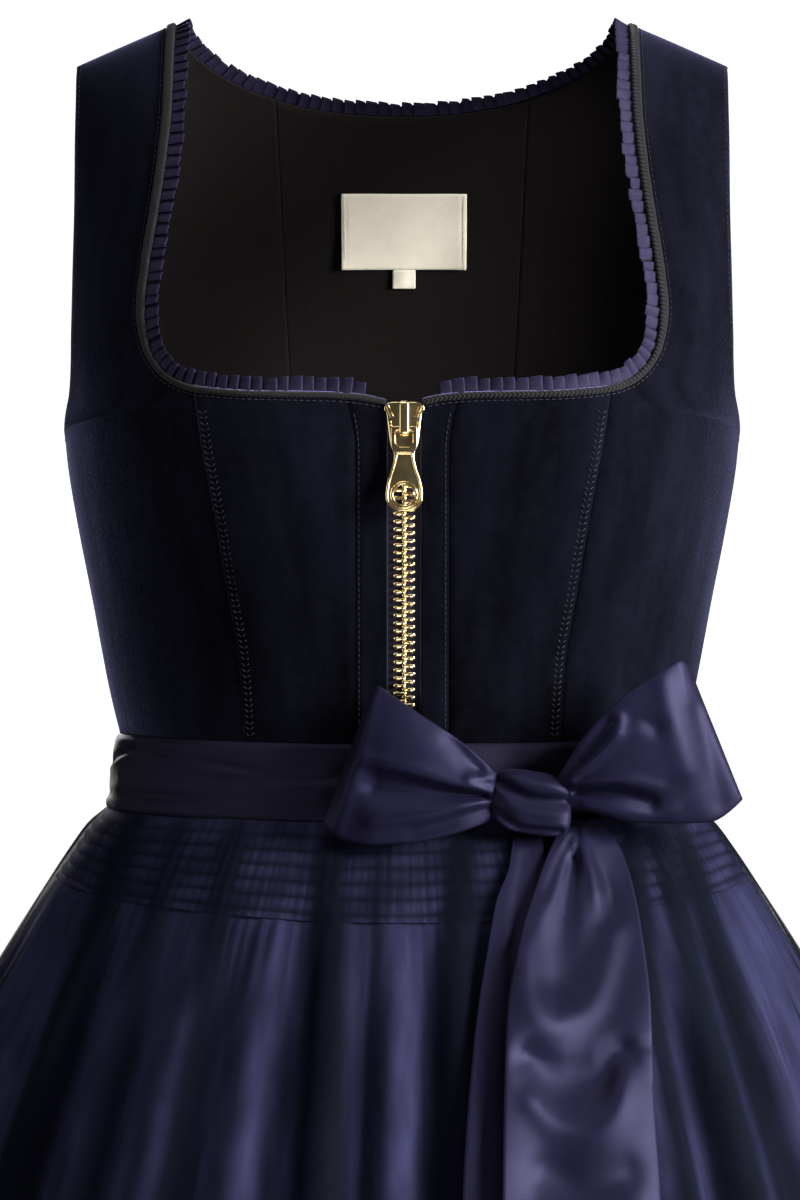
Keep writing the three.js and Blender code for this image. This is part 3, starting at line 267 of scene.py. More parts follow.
# %% From a grid to a cloth
def shell(name, grid, thick, materials, around=False, normals=None, masks=None, gathered=False):
    """A cloth from its outer grid: the inner grid is outer - thick * normal, and each rim has a middle row
    pushed out by thick / 2. materials is (outer, inner) or one material."""
    rows, cols = grid.shape[:2]
    normals = grid_normals(grid, around) if normals is None else normals
    inner = grid - normals * thick
    n = rows * cols
    index = np.arange(n).reshape(rows, cols)
    points, quads = [grid.reshape(-1, 3), inner.reshape(-1, 3)], []
    front = quads_of(rows, cols, around)
    back = quads_of(rows, cols, around, n)[:, ::-1]
    if around:
        rims = [(index[0], index[1], False), (index[-1], index[-2], True)]
    else:
        ring = np.concatenate([index[0, :-1], index[:-1, -1], index[-1, :0:-1], index[:0:-1, 0]])
        near = np.concatenate([index[1, :-1], index[:-1, -2], index[-2, :0:-1], index[:0:-1, 1]])
        rims = [(ring, near, False)]
    count = 2 * n
    extra_uv = []
    uv = arc_uv(grid, gathered).reshape(-1, 2)
    all_points = np.concatenate(points)
    for ring, near, flip in rims:
        away = unit(all_points[ring] - all_points[near])
        middle = (all_points[ring] + all_points[ring + n]) / 2 + away * thick * 0.5
        points.append(middle)
        extra_uv.append(uv[ring])
        m = len(ring)
        follow = np.roll(ring, -1)
        mid = count + np.arange(m)
        mid2 = np.roll(mid, -1)
        first = np.stack([follow, ring, mid, mid2], -1)
        second = np.stack([mid2, mid, ring + n, follow + n], -1)
        if flip:
            first, second = first[:, ::-1], second[:, ::-1]
        quads += [first, second]
        count += m
    all_quads = np.concatenate([front, back, *quads])
    slots = np.zeros(len(all_quads), np.int32)
    materials = materials if isinstance(materials, (list, tuple)) else (materials,)
    if len(materials) > 1:
        slots[len(front):len(front) + len(back)] = 1
    all_uv = np.concatenate([uv, uv, *extra_uv])
    all_masks = {}
    for key, values in (masks or {}).items():
        flat = np.asarray(values, float).ravel()
        all_masks[key] = np.concatenate([flat, flat, *[flat[r[0]] for r in rims]])
    return put_mesh(name, np.concatenate(points), all_quads, materials, all_uv, slots, all_masks)


print("a shell's rim adds two rows of faces round its edge")

# %% [markdown]
# ## Small helpers for node trees
#
# A finish is a small network of nodes. It could be wired by hand in the Shader Editor, and writing it as
# functions does the same with fewer clicks: one function makes a node, one draws a link, and one does sums.

# %% Small helpers for node trees
def node(tree, kind, at=(0, 0), **settings):
    made = tree.nodes.new(kind)
    made.location = at
    for key, value in settings.items():
        setattr(made, key, value)
    return made


def wire(tree, a, out, b, into):
    tree.links.new(a.outputs[out], b.inputs[into])


def calc(tree, operation, a, b=None, c=None):
    """A Math node, with links or plain numbers for its inputs. Returns its output socket."""
    made = node(tree, "ShaderNodeMath", operation=operation)
    for k, value in enumerate((a, b, c)):
        if value is None:
            continue
        if isinstance(value, (int, float)):
            made.inputs[k].default_value = value
        else:
            tree.links.new(value, made.inputs[k])
    return made.outputs[0]


def weighted(tree, a, share_a, b, share_b):
    """The socket of a share_a + b share_b."""
    return calc(tree, "ADD", calc(tree, "MULTIPLY", a, share_a), calc(tree, "MULTIPLY", b, share_b))


def new_group(name, inputs, outputs):
    group = bpy.data.node_groups.new(name, "ShaderNodeTree")
    for key, kind, value in inputs:
        made = group.interface.new_socket(key, in_out="INPUT", socket_type=kind)
        if value is not None:
            made.default_value = value
    for key in outputs:
        group.interface.new_socket(key, in_out="OUTPUT", socket_type="NodeSocketFloat")
    return group, node(group, "NodeGroupInput", (-900, 0)), node(group, "NodeGroupOutput", (900, 0))


print("helpers:", ", ".join(f.__name__ for f in (node, wire, calc, weighted, new_group)))

# %% [markdown]
# ## Effects that several cloths share
#
# Three effects come back in many finishes: a weave of crossing threads, slow patches of tone as on any
# dyed cloth, and a short nap. Each is a node group that puts out only numbers, and each finish gives it
# its own scale. The shaders themselves stay in the finishes.

# %% Effects that several cloths share
def weave_group():
    """Plain weave: warp and weft are sine waves across each other. Their product is a checker, and the height
    0.6 |checker| + 0.4 checker says which thread is on top."""
    group, given, out = new_group(
        "weave", [("UV", "NodeSocketVector", None), ("Per metre", "NodeSocketFloat", 1500.0)],
        ["Height", "Thread"])
    scaled = node(group, "ShaderNodeVectorMath", operation="SCALE")
    wire(group, given, "UV", scaled, 0)
    wire(group, given, "Per metre", scaled, "Scale")
    parts = node(group, "ShaderNodeSeparateXYZ")
    wire(group, scaled, 0, parts, 0)
    warp, weft = (calc(group, "SINE", calc(group, "MULTIPLY", parts.outputs[axis], np.pi)) for axis in "XY")
    checker = calc(group, "MULTIPLY", warp, weft)
    height = weighted(group, calc(group, "ABSOLUTE", checker), 0.6, checker, 0.4)
    group.links.new(height, out.inputs["Height"])
    group.links.new(calc(group, "ABSOLUTE", warp), out.inputs["Thread"])
    return group


def patches_group():
    """Slow tone: two noises, one over centimetres and one over millimetres, mixed three to one."""
    group, given, out = new_group(
        "tone_patches", [("Vector", "NodeSocketVector", None), ("Scale", "NodeSocketFloat", 14.0)], ["Tone"])
    slow, quick = (node(group, "ShaderNodeTexNoise") for _ in range(2))
    slow.inputs["Detail"].default_value = 3.0
    quick.inputs["Detail"].default_value = 2.0
    for noise in (slow, quick):
        wire(group, given, "Vector", noise, "Vector")
    wire(group, given, "Scale", slow, "Scale")
    group.links.new(calc(group, "MULTIPLY", given.outputs["Scale"], 21.0), quick.inputs["Scale"])
    group.links.new(weighted(group, slow.outputs[0], 0.75, quick.outputs[0], 0.25), out.inputs["Tone"])
    return group


def nap_group():
    """Pile or spun fibre: a fine noise stretched down the cloth, and a wider one that leans it in streaks."""
    group, given, out = new_group(
        "nap", [("UV", "NodeSocketVector", None), ("Fine", "NodeSocketFloat", 2600.0)], ["Height", "Streak"])
    long = node(group, "ShaderNodeVectorMath", operation="MULTIPLY")
    long.inputs[1].default_value = (1.0, 0.22, 1.0)
    wire(group, given, "UV", long, 0)
    fine, streak = (node(group, "ShaderNodeTexNoise") for _ in range(2))
    streak.inputs["Detail"].default_value = 4.0
    for noise in (fine, streak):
        wire(group, long, 0, noise, "Vector")
    wire(group, given, "Fine", fine, "Scale")
    group.links.new(calc(group, "MULTIPLY", given.outputs["Fine"], 0.018), streak.inputs["Scale"])
    group.links.new(fine.outputs[0], out.inputs["Height"])
    group.links.new(streak.outputs[0], out.inputs["Streak"])
    return group


WEAVE, PATCHES, NAP = weave_group(), patches_group(), nap_group()
print("shared effects:", WEAVE.name, PATCHES.name, NAP.name)

# %% [markdown]
# ## What every finish does
#
# Each finish starts from one Principled shader. Its colour moves between a dark and a light tone of the
# same cloth, and its relief is a bump of a fraction of a millimetre. A flat colour would be quicker, but
# it looks like painted card as soon as a light comes near.

# %% What every finish does
def finish(name, colour, roughness, **sockets):
    """A material with its Principled shader, and constants set straight on the shader's own sockets."""
    material = bpy.data.materials.new(name)
    material.use_nodes = True
    tree = material.node_tree
    shader = tree.nodes["Principled BSDF"]
    shader.inputs["Base Color"].default_value = (*colour, 1)
    shader.inputs["Roughness"].default_value = roughness
    for key, value in sockets.items():
        shader.inputs[key.replace("_", " ")].default_value = value
    return material, tree, shader


def placed_group(tree, group, source, out, **values):
    """A shared effect in this finish: its first input takes source's output out, the rest plain numbers."""
    made = node(tree, "ShaderNodeGroup", (-600, 0))
    made.node_tree = group
    wire(tree, source, out, made, 0)
    for key, value in values.items():
        made.inputs[key.replace("_", " ")].default_value = value
    return made


def uv_of(tree):
    return node(tree, "ShaderNodeUVMap", (-900, 200), uv_map="UVMap")


def patches_of(tree, scale):
    """The slow tone over the garment, scale patches to the metre."""
    return placed_group(tree, PATCHES, node(tree, "ShaderNodeTexCoord"), "Object", Scale=scale).outputs[0]


def uv_parts(tree):
    """The distances along and across the cloth as two sockets, in metres."""
    parts = node(tree, "ShaderNodeSeparateXYZ")
    wire(tree, uv_of(tree), 0, parts, 0)
    return parts.outputs["X"], parts.outputs["Y"]


def mask_of(tree, name):
    return node(tree, "ShaderNodeAttribute", attribute_name=name, attribute_type="GEOMETRY")


def toned(tree, shader, tone, dark, light, low=0.3, high=0.7):
    """Base colour from dark to light as tone goes from low to high."""
    ramp = node(tree, "ShaderNodeValToRGB", (-300, 200))
    for element, at, colour in zip(ramp.color_ramp.elements, (low, high), (dark, light)):
        element.position = at
        element.color = (*colour, 1)
    tree.links.new(tone, ramp.inputs[0])
    wire(tree, ramp, "Color", shader, "Base Color")
    return ramp


def bumped(tree, shader, height, strength, depth):
    bump = node(tree, "ShaderNodeBump", (-150, -300))
    bump.inputs["Strength"].default_value = strength
    bump.inputs["Distance"].default_value = depth
    tree.links.new(height, bump.inputs["Height"])
    wire(tree, bump, "Normal", shader, "Normal")


print("a finish has a colour, a tone, a relief and", len(bpy.data.node_groups), "effects to draw on")

# %% [markdown]
# ## Velvet and lining
#
# Velvet is almost black face on and lights up along its edges, because its pile stands up: a rough base
# with strong sheen does that. The lining is a brown-black cotton with a fine dotted mesh, made of rows of
# small round dots that are barely out of line.

# %% Velvet and lining
def velvet_finish():
    """Velvet: the pile leans in streaks, which move its bump; the same streaks with slow patches set its base
    colour, partly as random tone and partly as painted sheen.
    """
    material, tree, shader = finish(
        "velvet", (0.002, 0.002, 0.004), 0.9, Sheen_Weight=0.8, Sheen_Roughness=0.32,
        Sheen_Tint=(0.27, 0.275, 0.53, 1), Specular_IOR_Level=0.02)
    nap = placed_group(tree, NAP, uv_of(tree), 0, Fine=2600.0)
    # Painted sheen, partly: the nap's streaks lighten the base colour where leaning pile would catch the
    # sheen, mixed with random slow patches.
    tone = weighted(tree, patches_of(tree, 9.0), 0.5, nap.outputs["Streak"], 0.5)
    toned(tree, shader, tone, (0.0001, 0.0001, 0.0003), (0.0042, 0.0043, 0.0090), low=0.38, high=0.66)
    bumped(tree, shader, weighted(tree, nap.outputs["Height"], 0.5, nap.outputs["Streak"], 1.6), 0.5, 0.0011)
    return material


def lining_finish():
    """Lining: a Voronoi texture with little randomness, 520 dots to the metre, 1 - 1.6 distance high."""
    material, tree, shader = finish(
        "lining", (0.008, 0.006, 0.006), 0.95, Sheen_Weight=0.04, Specular_IOR_Level=0.05)
    dots = node(tree, "ShaderNodeTexVoronoi", feature="F1")
    dots.inputs["Scale"].default_value = 520.0
    dots.inputs["Randomness"].default_value = 0.12
    wire(tree, uv_of(tree), 0, dots, "Vector")
    dot = calc(tree, "SUBTRACT", 1.0, calc(tree, "MULTIPLY", dots.outputs["Distance"], 1.6))
    tone = weighted(tree, patches_of(tree, 11.0), 0.5, dot, 0.22)
    toned(tree, shader, tone, (0.0040, 0.0027, 0.0027), (0.0100, 0.0070, 0.0074))
    bumped(tree, shader, dot, 0.25, 0.0003)
    return material


VELVET, LINING = velvet_finish(), lining_finish()
print("finishes:", VELVET.name, LINING.name)

# %% [markdown]
# ## Satin
#
# Satin floats its threads one way, so its highlight is long across them: a lower roughness with
# anisotropy turned along the cloth. The bow, the sash, the ruche and the apron are four satins of
# different weight, so one function makes them all. In the apron's smocking and the ruche's pleats, a mask
# on the mesh paints shade into the colour, in the valleys where the folds shade themselves.

# %% Satin
def satin_finish(name, dark, light, roughness, sheen, anisotropic=0.5, painted_valley_shade=False):
    """Satin; with the last flag, the mesh's valley mask paints shade into the base colour, down to 0.12 of
    the dark tone, in the valleys of gathers and pleats.
    """
    material, tree, shader = finish(
        name, light, roughness, Sheen_Weight=sheen, Sheen_Roughness=0.35, Sheen_Tint=(0.45, 0.42, 0.8, 1),
        Specular_IOR_Level=0.26, Specular_Tint=(0.21, 0.19, 0.44, 1), Anisotropic=anisotropic)
    weave = placed_group(tree, WEAVE, uv_of(tree), 0, Per_metre=2400.0)
    nap = placed_group(tree, NAP, uv_of(tree), 0, Fine=1700.0)
    tone = weighted(tree, patches_of(tree, 16.0), 0.65, nap.outputs["Streak"], 0.35)
    ramp = toned(tree, shader, tone, dark, light)
    # Painted shade: the valley mask mixes the colour towards 0.12 of the dark tone in the folds' valleys.
    if painted_valley_shade:
        shade = node(tree, "ShaderNodeMix", data_type="RGBA")
        wire(tree, mask_of(tree, "valley"), "Fac", shade, 0)
        tree.links.new(ramp.outputs["Color"], shade.inputs[6])
        shade.inputs[7].default_value = (*(0.12 * c for c in dark), 1)
        tree.links.new(shade.outputs[2], shader.inputs["Base Color"])
    bumped(tree, shader, weighted(tree, weave.outputs["Height"], 0.5, nap.outputs["Height"], 0.5), 0.3,
           0.0004)
    along_u = node(tree, "ShaderNodeTangent", (-150, -500), direction_type="UV_MAP", uv_map="UVMap")
    wire(tree, along_u, 0, shader, "Tangent")
    return material


SATIN = satin_finish("satin_bow", (0.0036, 0.0033, 0.0094), (0.0072, 0.0066, 0.0180), 0.38, 0.02)
SATIN_SASH = satin_finish("satin_sash", (0.0050, 0.0042, 0.0085), (0.0090, 0.0078, 0.0155), 0.5, 0.02)
SATIN_APRON = satin_finish(
    "satin_apron", (0.056, 0.053, 0.138), (0.086, 0.082, 0.208), 0.57, 0.08, painted_valley_shade=True)
RUCHE_SATIN = satin_finish(
    "satin_ruche", (0.009, 0.0076, 0.0175), (0.021, 0.0180, 0.0380), 0.46, 0.03, 0.3, True)
print("satins:", [m.name for m in (SATIN, SATIN_SASH, SATIN_APRON, RUCHE_SATIN)])

# %% [markdown]
# ## Net and skirt cloth
#
# Net is a dark cloth that is mostly holes, so it is see-through, and it is denser where it is gathered: a
# mask on the mesh says where that is. Cutting every hole would take millions of faces, and nobody would
# see them from a step away. The skirt under it is a plain matt weave.

# %% Net and skirt cloth
def net_finish():
    """Alpha is 0.04 plus 0.52 of the gather mask, with streaks where the net's threads crowd together."""
    material, tree, shader = finish(
        "net", (0.007, 0.010, 0.016), 0.75, Sheen_Weight=0.05, Sheen_Roughness=0.5,
        Sheen_Tint=(0.3, 0.4, 0.7, 1), Specular_IOR_Level=0.02)
    nap = placed_group(tree, NAP, uv_of(tree), 0, Fine=900.0)
    strands = placed_group(tree, NAP, uv_of(tree), 0, Fine=6500.0)
    toned(tree, shader, patches_of(tree, 13.0), (0.0010, 0.0014, 0.0032), (0.0030, 0.0036, 0.0078))
    streaks = weighted(tree, nap.outputs["Streak"], 0.14, strands.outputs["Streak"], 0.44)
    gathered = calc(tree, "MULTIPLY", mask_of(tree, "gather").outputs["Fac"], 0.52)
    alpha = calc(tree, "ADD", calc(tree, "ADD", 0.04, streaks), gathered)
    tree.links.new(calc(tree, "MINIMUM", alpha, 0.96), shader.inputs["Alpha"])
    bumped(tree, shader, nap.outputs["Height"], 0.25, 0.0005)
    return material


def skirt_finish():
    """Matt cotton: a weave of 1700 threads to the metre under slow patches of tone."""
    material, tree, shader = finish(
        "skirt_cloth", (0.006, 0.0065, 0.016), 0.8, Sheen_Weight=0.06, Sheen_Roughness=0.5,
        Sheen_Tint=(0.3, 0.34, 0.7, 1), Specular_IOR_Level=0.1)
    weave = placed_group(tree, WEAVE, uv_of(tree), 0, Per_metre=1700.0)
    toned(tree, shader, patches_of(tree, 12.0), (0.0040, 0.0044, 0.0110), (0.0085, 0.0092, 0.0220))
    bumped(tree, shader, weave.outputs["Height"], 0.3, 0.0004)
    return material


NET, SKIRT_CLOTH = net_finish(), skirt_finish()
print("finishes:", NET.name, SKIRT_CLOTH.name)

# %% [markdown]
# ## Ribbons: braid, zip tape and label
#
# A herringbone is a set of slanting ridges that turns back at a line. A sine of a slanting distance draws
# the ridges, and folding that distance at the line turns them, so no picture of a weave is needed.

# %% Ribbons: braid, zip tape and label
MILLIMETRE_TURNS = 2 * np.pi * 1000


def braid_finish():
    """Braid: ridges sin(2 pi (v + 0.9 |u|) / 2.1 mm), which meet on the middle line."""
    material, tree, shader = finish(
        "braid", (0.012, 0.0105, 0.0115), 0.8, Sheen_Weight=0.06, Specular_IOR_Level=0.12)
    across, down = uv_parts(tree)
    slant = calc(tree, "ADD", down, calc(tree, "MULTIPLY", calc(tree, "ABSOLUTE", across), 0.9))
    ridge = calc(tree, "SINE", calc(tree, "MULTIPLY", slant, MILLIMETRE_TURNS / 2.1))
    tone = calc(tree, "ADD", calc(tree, "MULTIPLY", ridge, 0.25), 0.5)
    toned(tree, shader, tone, (0.0016, 0.0014, 0.0018), (0.0115, 0.0102, 0.0120))
    bumped(tree, shader, ridge, 0.5, 0.0004)
    return material


def tape_finish():
    """Zip tape: ridges 0.9 mm apart that slant in bands 2 mm wide."""
    material, tree, shader = finish(
        "zip_tape", (0.012, 0.010, 0.017), 0.7, Sheen_Weight=0.05, Specular_IOR_Level=0.12)
    across, down = uv_parts(tree)
    slant = calc(tree, "ADD", down, calc(tree, "PINGPONG", across, 0.002))
    ridge = calc(tree, "SINE", calc(tree, "MULTIPLY", slant, MILLIMETRE_TURNS / 0.9))
    tone = calc(tree, "ADD", calc(tree, "MULTIPLY", ridge, 0.3), 0.5)
    toned(tree, shader, tone, (0.006, 0.005, 0.010), (0.021, 0.017, 0.031))
    bumped(tree, shader, ridge, 0.5, 0.0003)
    return material


def label_finish():
    """Woven cream satin: fine weft lines over slow tone."""
    material, tree, shader = finish(
        "label_cloth", (0.72, 0.66, 0.54), 0.6, Sheen_Weight=0.25, Specular_IOR_Level=0.3)
    weave = placed_group(tree, WEAVE, uv_of(tree), 0, Per_metre=2200.0)
    patches = placed_group(tree, PATCHES, uv_of(tree), 0, Scale=40.0)
    tone = weighted(tree, patches.outputs[0], 0.6, weave.outputs["Height"], 0.4)
    toned(tree, shader, tone, (0.50, 0.45, 0.355), (0.76, 0.70, 0.58), low=0.2, high=0.6)
    bumped(tree, shader, weave.outputs["Height"], 0.35, 0.0003)
    return material


BRAID, TAPE, LABEL = braid_finish(), tape_finish(), label_finish()
print("finishes:", BRAID.name, TAPE.name, LABEL.name)

# %% [markdown]
# ## Brass and thread
#
# Handled brass is never evenly bright: its roughness drifts a little, and its colour with it. Sewing
# thread is twisted, so fine slanting lines run along each stitch.

# %% Brass and thread
def brass_finish(name, colour, roughness):
    """Polished brass: roughness is its own value - 0.05 + 0.14 of the slow tone."""
    material, tree, shader = finish(name, colour, roughness, Metallic=1.0)
    patches = patches_of(tree, 160.0)
    toned(tree, shader, patches, tuple(0.86 * c for c in colour), colour)
    smears = calc(tree, "ADD", roughness - 0.05, calc(tree, "MULTIPLY", patches, 0.14))
    tree.links.new(smears, shader.inputs["Roughness"])
    bumped(tree, shader, patches, 0.05, 0.0002)
    return material


def thread_finish(name, colour):
    """Twisted thread: diagonal bands, 700 to the metre, from 0.55 of its colour to the whole of it."""
    material, tree, shader = finish(name, colour, 0.6, Sheen_Weight=0.08, Specular_IOR_Level=0.25)
    twist = node(tree, "ShaderNodeTexWave", wave_type="BANDS", bands_direction="DIAGONAL")
    twist.inputs["Scale"].default_value = 700.0
    wire(tree, node(tree, "ShaderNodeTexCoord"), "Object", twist, "Vector")
    toned(tree, shader, twist.outputs["Fac"], tuple(0.55 * c for c in colour), colour)
    bumped(tree, shader, twist.outputs["Fac"], 0.3, 0.0002)
    return material


BRASS = brass_finish("brass", (0.95, 0.74, 0.38), 0.19)
THREAD = thread_finish("thread_navy", (0.0055, 0.0070, 0.0150))
THREAD_CREAM = thread_finish("thread_cream", (0.66, 0.60, 0.48))
print(len(bpy.data.materials), "finishes so far")

# %% [markdown]
# ## The lines of the pattern
#
# A dirndl bodice has a front centre, a front side with its strap, a back side and a back centre, and the
# princess seams between them run over the bust. These tables are its paper pattern. Drawing the seams as
# curves in the viewport would do as well, but a table can be read, corrected and mirrored.

# %% The lines of the pattern
SHOULDER = -0.0005  # height of the shoulder seam, just under the origin
BODICE_LOW = -367.85  # the bodice's lower edge, just over the waist seam
SIDE_SEAM = 89.95  # degrees round from the front
NECK_FRONT = np.array([  # neck edge x, height, and the height on the armhole of the same row
    (108.5, SHOULDER, SHOULDER), (108.5, -2.5, -2.5), (108.5, -9, -9), (108.5, -22, -22), (108.7, -44, -44),
    (111, -72, -72),
    (114, -95, -95), (118, -121, -121), (120, -142, -142), (118.5, -158, -158), (113, -170, -172),
    (104, -177.5, -184), (97.1, -180, -193)])
FRONT_ROWS = np.array([(-188, -200), (-203, -212), (-222, -228), (-245, -248), (-270, -271), (-295, -295),
                       (-320, -320), (-345, -345), (BODICE_LOW, BODICE_LOW)])
FRONT_SEAM = np.array([(-180, 97), (-206, 93), (-242, 86.3), (-279, 80.3), (-306, 75.9), (-343, 73.8),
                       (-368, 73)])
NECK_BOTTOM = np.array([(7, -187.5), (17, -185.2), (30, -184), (70, -183), (92, -181), (97, -180)])
PLACKET_SEAM = np.array([(-184, 26.6), (-195, 23.4), (-210, 21.5), (-368, 21.5)])
ARMHOLE = np.array([(0, 62.1), (-80, 61.7), (-120, 62.1), (-150, 62.6), (-165, 64.7), (-180, 69.2),
                    (-190, 75.5),
                    (-197, 82.5), (-200, 90)])
NECK_BACK = np.array([(108.5, SHOULDER, SHOULDER), (107.8, -3.2, -3.2), (106, -6.8, -9), (103, -10.8, -18),
                      (97, -16.5, -32),
                      (88, -22.5, -50), (76, -28.4, -70), (62.15, -33.3, -92)])
BACK_ROWS = np.array([(-60, -115), (-90, -138), (-120, -160), (-150, -180), (-172, -193), (-190, -200),
                      (-212, -216),
                      (-240, -242), (-272, -272), (-305, -305), (-345, -345), (BODICE_LOW, BODICE_LOW)])
BACK_SEAM = np.array([(-33, 62), (-150, 57), (-280, 47), (-368, 42)])
GAP, VELVET_THICK, LINING_THICK, LINING_OUT = 0.3, 1.6, 1.0, -2.0


def table_line(table, at):
    return along(table[:, 0], table[:, 1], at)


rows_in_all = sum(len(v) for v in (NECK_FRONT, FRONT_ROWS, FRONT_SEAM, NECK_BACK, BACK_ROWS, BACK_SEAM))
print("pattern rows:", rows_in_all)

# %% [markdown]
# ## From the pattern to grids
#
# Each panel is a patch of the figure's surface: an edge line, a far line, and shares between. Near a seam
# the velvet dips a little, where it is sewn and pressed.

# %% From the pattern to grids
def seam_dip(share, width, left=True, right=True):
    """How far the cloth sinks beside a seam: 0.7 mm at the seam itself, a bell 1.6 mm wide."""
    return 0.7 * (left * hump(share * width, 0, 1.6) + right * hump((1 - share) * width, 0, 1.6))


def side_lines(neck, rows, seam, per_row):
    """The edge's x and height and the far height: the neck's rows first, then the seam's, with per_row
    samples between two rows."""
    t = np.linspace(0, len(neck) - 1, (len(neck) - 1) * per_row + 1)
    index = np.arange(len(neck))
    first = [along(index, neck[:, k], t) for k in (0, 1, 2)]
    full = np.vstack([neck[-1, 1:], rows])
    t = np.linspace(0, len(full) - 1, (len(full) - 1) * per_row + 1)[1:]
    index = np.arange(len(full))
    h, far = along(index, full[:, 0], t), along(index, full[:, 1], t)
    on_seam = (table_line(seam, h) + GAP / 2, h, far)
    return [np.concatenate(pair) for pair in zip(first, on_seam)]


def side_grid(neck, rows, seam, back, per_row=5, columns=26):
    """Heights and angles of a side panel: shares go from the neck or seam to the armhole or side seam."""
    x, h, far = side_lines(neck, rows, seam, per_row)
    edge_angle = angle_of(x, h)
    far_angle = np.radians(np.where(far <= -200, SIDE_SEAM, table_line(ARMHOLE, far)))
    if back:
        edge_angle, far_angle = np.pi - edge_angle, np.pi - far_angle
    share = ease(columns)[None, :]
    return mix(h[:, None], far[:, None], share), mix(edge_angle[:, None], far_angle[:, None], share), share


def hung_grid(left, right, top, turn, rows=96, columns=24):
    """Heights and angles of a panel under a top edge: x goes from the left to the right seam at every
    height, and four rounds settle the top edge, whose height depends on x."""
    share = ease(columns)[None, :]
    h0 = np.full(share.shape, left[1])
    for _ in range(4):
        h0 = top(mix(left[0](h0), right[0](h0), share))
    h = mix(h0, BODICE_LOW, np.linspace(0, 1, rows)[:, None])
    angle = angle_of(mix(left[0](h), right[0](h), share), h)
    return h, (np.pi - angle if turn else angle), share


def neck_bottom(x):
    return table_line(NECK_BOTTOM, np.abs(x))


def back_neck(x):
    """Back neckline: -41 (1 - |x / 108.5|^2.2)^0.6."""
    return -41 * (1 - (np.abs(x) / 108.5) ** 2.2) ** 0.6


def on_velvet(h, angle, lift=0.0):
    return torso(h, angle) + torso_normal(h, angle) * np.asarray(lift)[..., None]


def flip_x(grid):
    return grid * np.array([-1, 1, 1])


def sided(left, *grids):
    """The grids as they are for the right side, or mirrored in x for the left one."""
    return [flip_x(grid) if left else grid for grid in grids]


print("a side panel is a grid of", side_grid(NECK_FRONT, FRONT_ROWS, FRONT_SEAM, False)[0].shape)

# %% [markdown]
# ## The bodice panels
#
# The panels are cut in pairs, so each is worked out once and mirrored. The velvet's inside is its
# facing, in the lining's cotton, which is the second material of the shell.

# %% The bodice panels
def soft_wear(h, angle):
    """Slight hand of a worn cloth, +-0.35 mm: three slow sine waves that never line up."""
    waves = np.sin(9 * angle + h / 31) + 0.6 * np.sin(17 * angle - h / 47) + 0.5 * np.sin(5 * angle + h / 13)
    return 0.35 * waves / 2.1


def velvet_panel(name, spec, nodes, dips=(True, True), mirror=False):
    """One panel of velvet on the body's garment. Returns its area in square metres."""
    h, angle, share = spec
    width = np.linalg.norm(np.diff(torso(h, angle), axis=1), axis=-1).sum(1, keepdims=True)
    out = -seam_dip(share + np.zeros_like(h), width, *dips) + soft_wear(h, angle) * step01((h + 10) / -40)
    grid = on_velvet(h, angle, out)
    normal = torso_normal(h, angle)
    grid, normal = sided(mirror, grid, normal)
    piece = shell(name, grid, VELVET_THICK - 0.2, (VELVET, LINING), normals=normal)
    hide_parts(*nodes)
    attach(piece, "garment")
    return cloth_area(grid)


front_side = side_grid(NECK_FRONT, FRONT_ROWS, FRONT_SEAM, False)
back_side = side_grid(NECK_BACK, BACK_ROWS, BACK_SEAM, True)
front_seam_x = lambda h: table_line(FRONT_SEAM, h) - GAP / 2
placket_x = lambda h: table_line(PLACKET_SEAM, h) + GAP / 2
front_centre = hung_grid((placket_x, -184), (front_seam_x, -180), neck_bottom, False)
back_seam_x = lambda h: table_line(BACK_SEAM, h) - GAP / 2
back_centre = hung_grid((lambda h: -back_seam_x(h), -34), (back_seam_x, -34), back_neck, True, columns=38)
areas = {}
for side, mirror in (("right", False), ("left", True)):
    for part, spec in (("front_side", front_side), ("back_side", back_side), ("front_centre", front_centre)):
        dips = (True, part != "back_side")
        areas[part] = velvet_panel(f"{part}_{side}_velvet", spec, [f"{part}_{side}"], dips, mirror)
    zip_x = 8.3 + (-0.9 if mirror else 0.9)
    placket = hung_grid((lambda h: np.full(np.shape(h), zip_x), -187.5),
                        (lambda h: table_line(PLACKET_SEAM, h) - GAP / 2, -184), neck_bottom, False,
                        columns=16)
    areas["placket"] = velvet_panel(
        f"zip_placket_{side}_velvet", placket, [f"zip_placket_{side}"], (False, True), mirror)
areas["back_centre"] = velvet_panel("back_centre_velvet", back_centre, ["back_centre"])
print("velvet panels, m2:", {k: round(v, 4) for k, v in areas.items()})

# %% [markdown]
# ## The lining
#
# Only the back's lining shows, through the neck. It could be the velvet's own inner face in another
# colour, but a lining is a second bodice of thinner cloth: it follows the velvet 2 mm further in, with
# its own seams, and sags very slightly between them.

# %% The lining
def lining_panel(name, spec, nodes, mirror):
    """One panel of lining, whose sag is a sine across times a sine down. Returns its area."""
    h, angle, share = spec
    sag = 0.8 * np.sin(np.pi * share) * np.sin(np.pi * np.linspace(0, 1, h.shape[0]))[:, None]
    normal = torso_normal(h, angle)
    grid = torso(h, angle) + normal * (LINING_OUT - LINING_THICK)
    inner = grid + normal * (-sag * 0.4)[..., None]
    inner, normal = sided(mirror, inner, normal)
    piece = shell(name, inner + normal * 0.9, 0.9, LINING, normals=normal)
    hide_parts(*nodes)
    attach(piece, "garment")
    return cloth_area(inner)


for side, mirror in (("right", False), ("left", True)):
    areas["lining_side"] = lining_panel(f"lining_{side}_cloth", back_side, [f"lining_{side}"], mirror)
areas["lining_centre"] = lining_panel("lining_centre_cloth", back_centre, ["lining_centre"], False)
print("lining, m2: side", round(areas["lining_side"], 4), "centre", round(areas["lining_centre"], 4))

# %% [markdown]
# ## Round the neck
#
# One line runs along the whole neck edge, from the zip over the shoulder, behind, and back. The braid
# binding is a narrow rounded strip inside that line, and the ruche is a satin strip folded into knife
# pleats that stands out of it. Both take their place from the line's point, normal and inward direction.

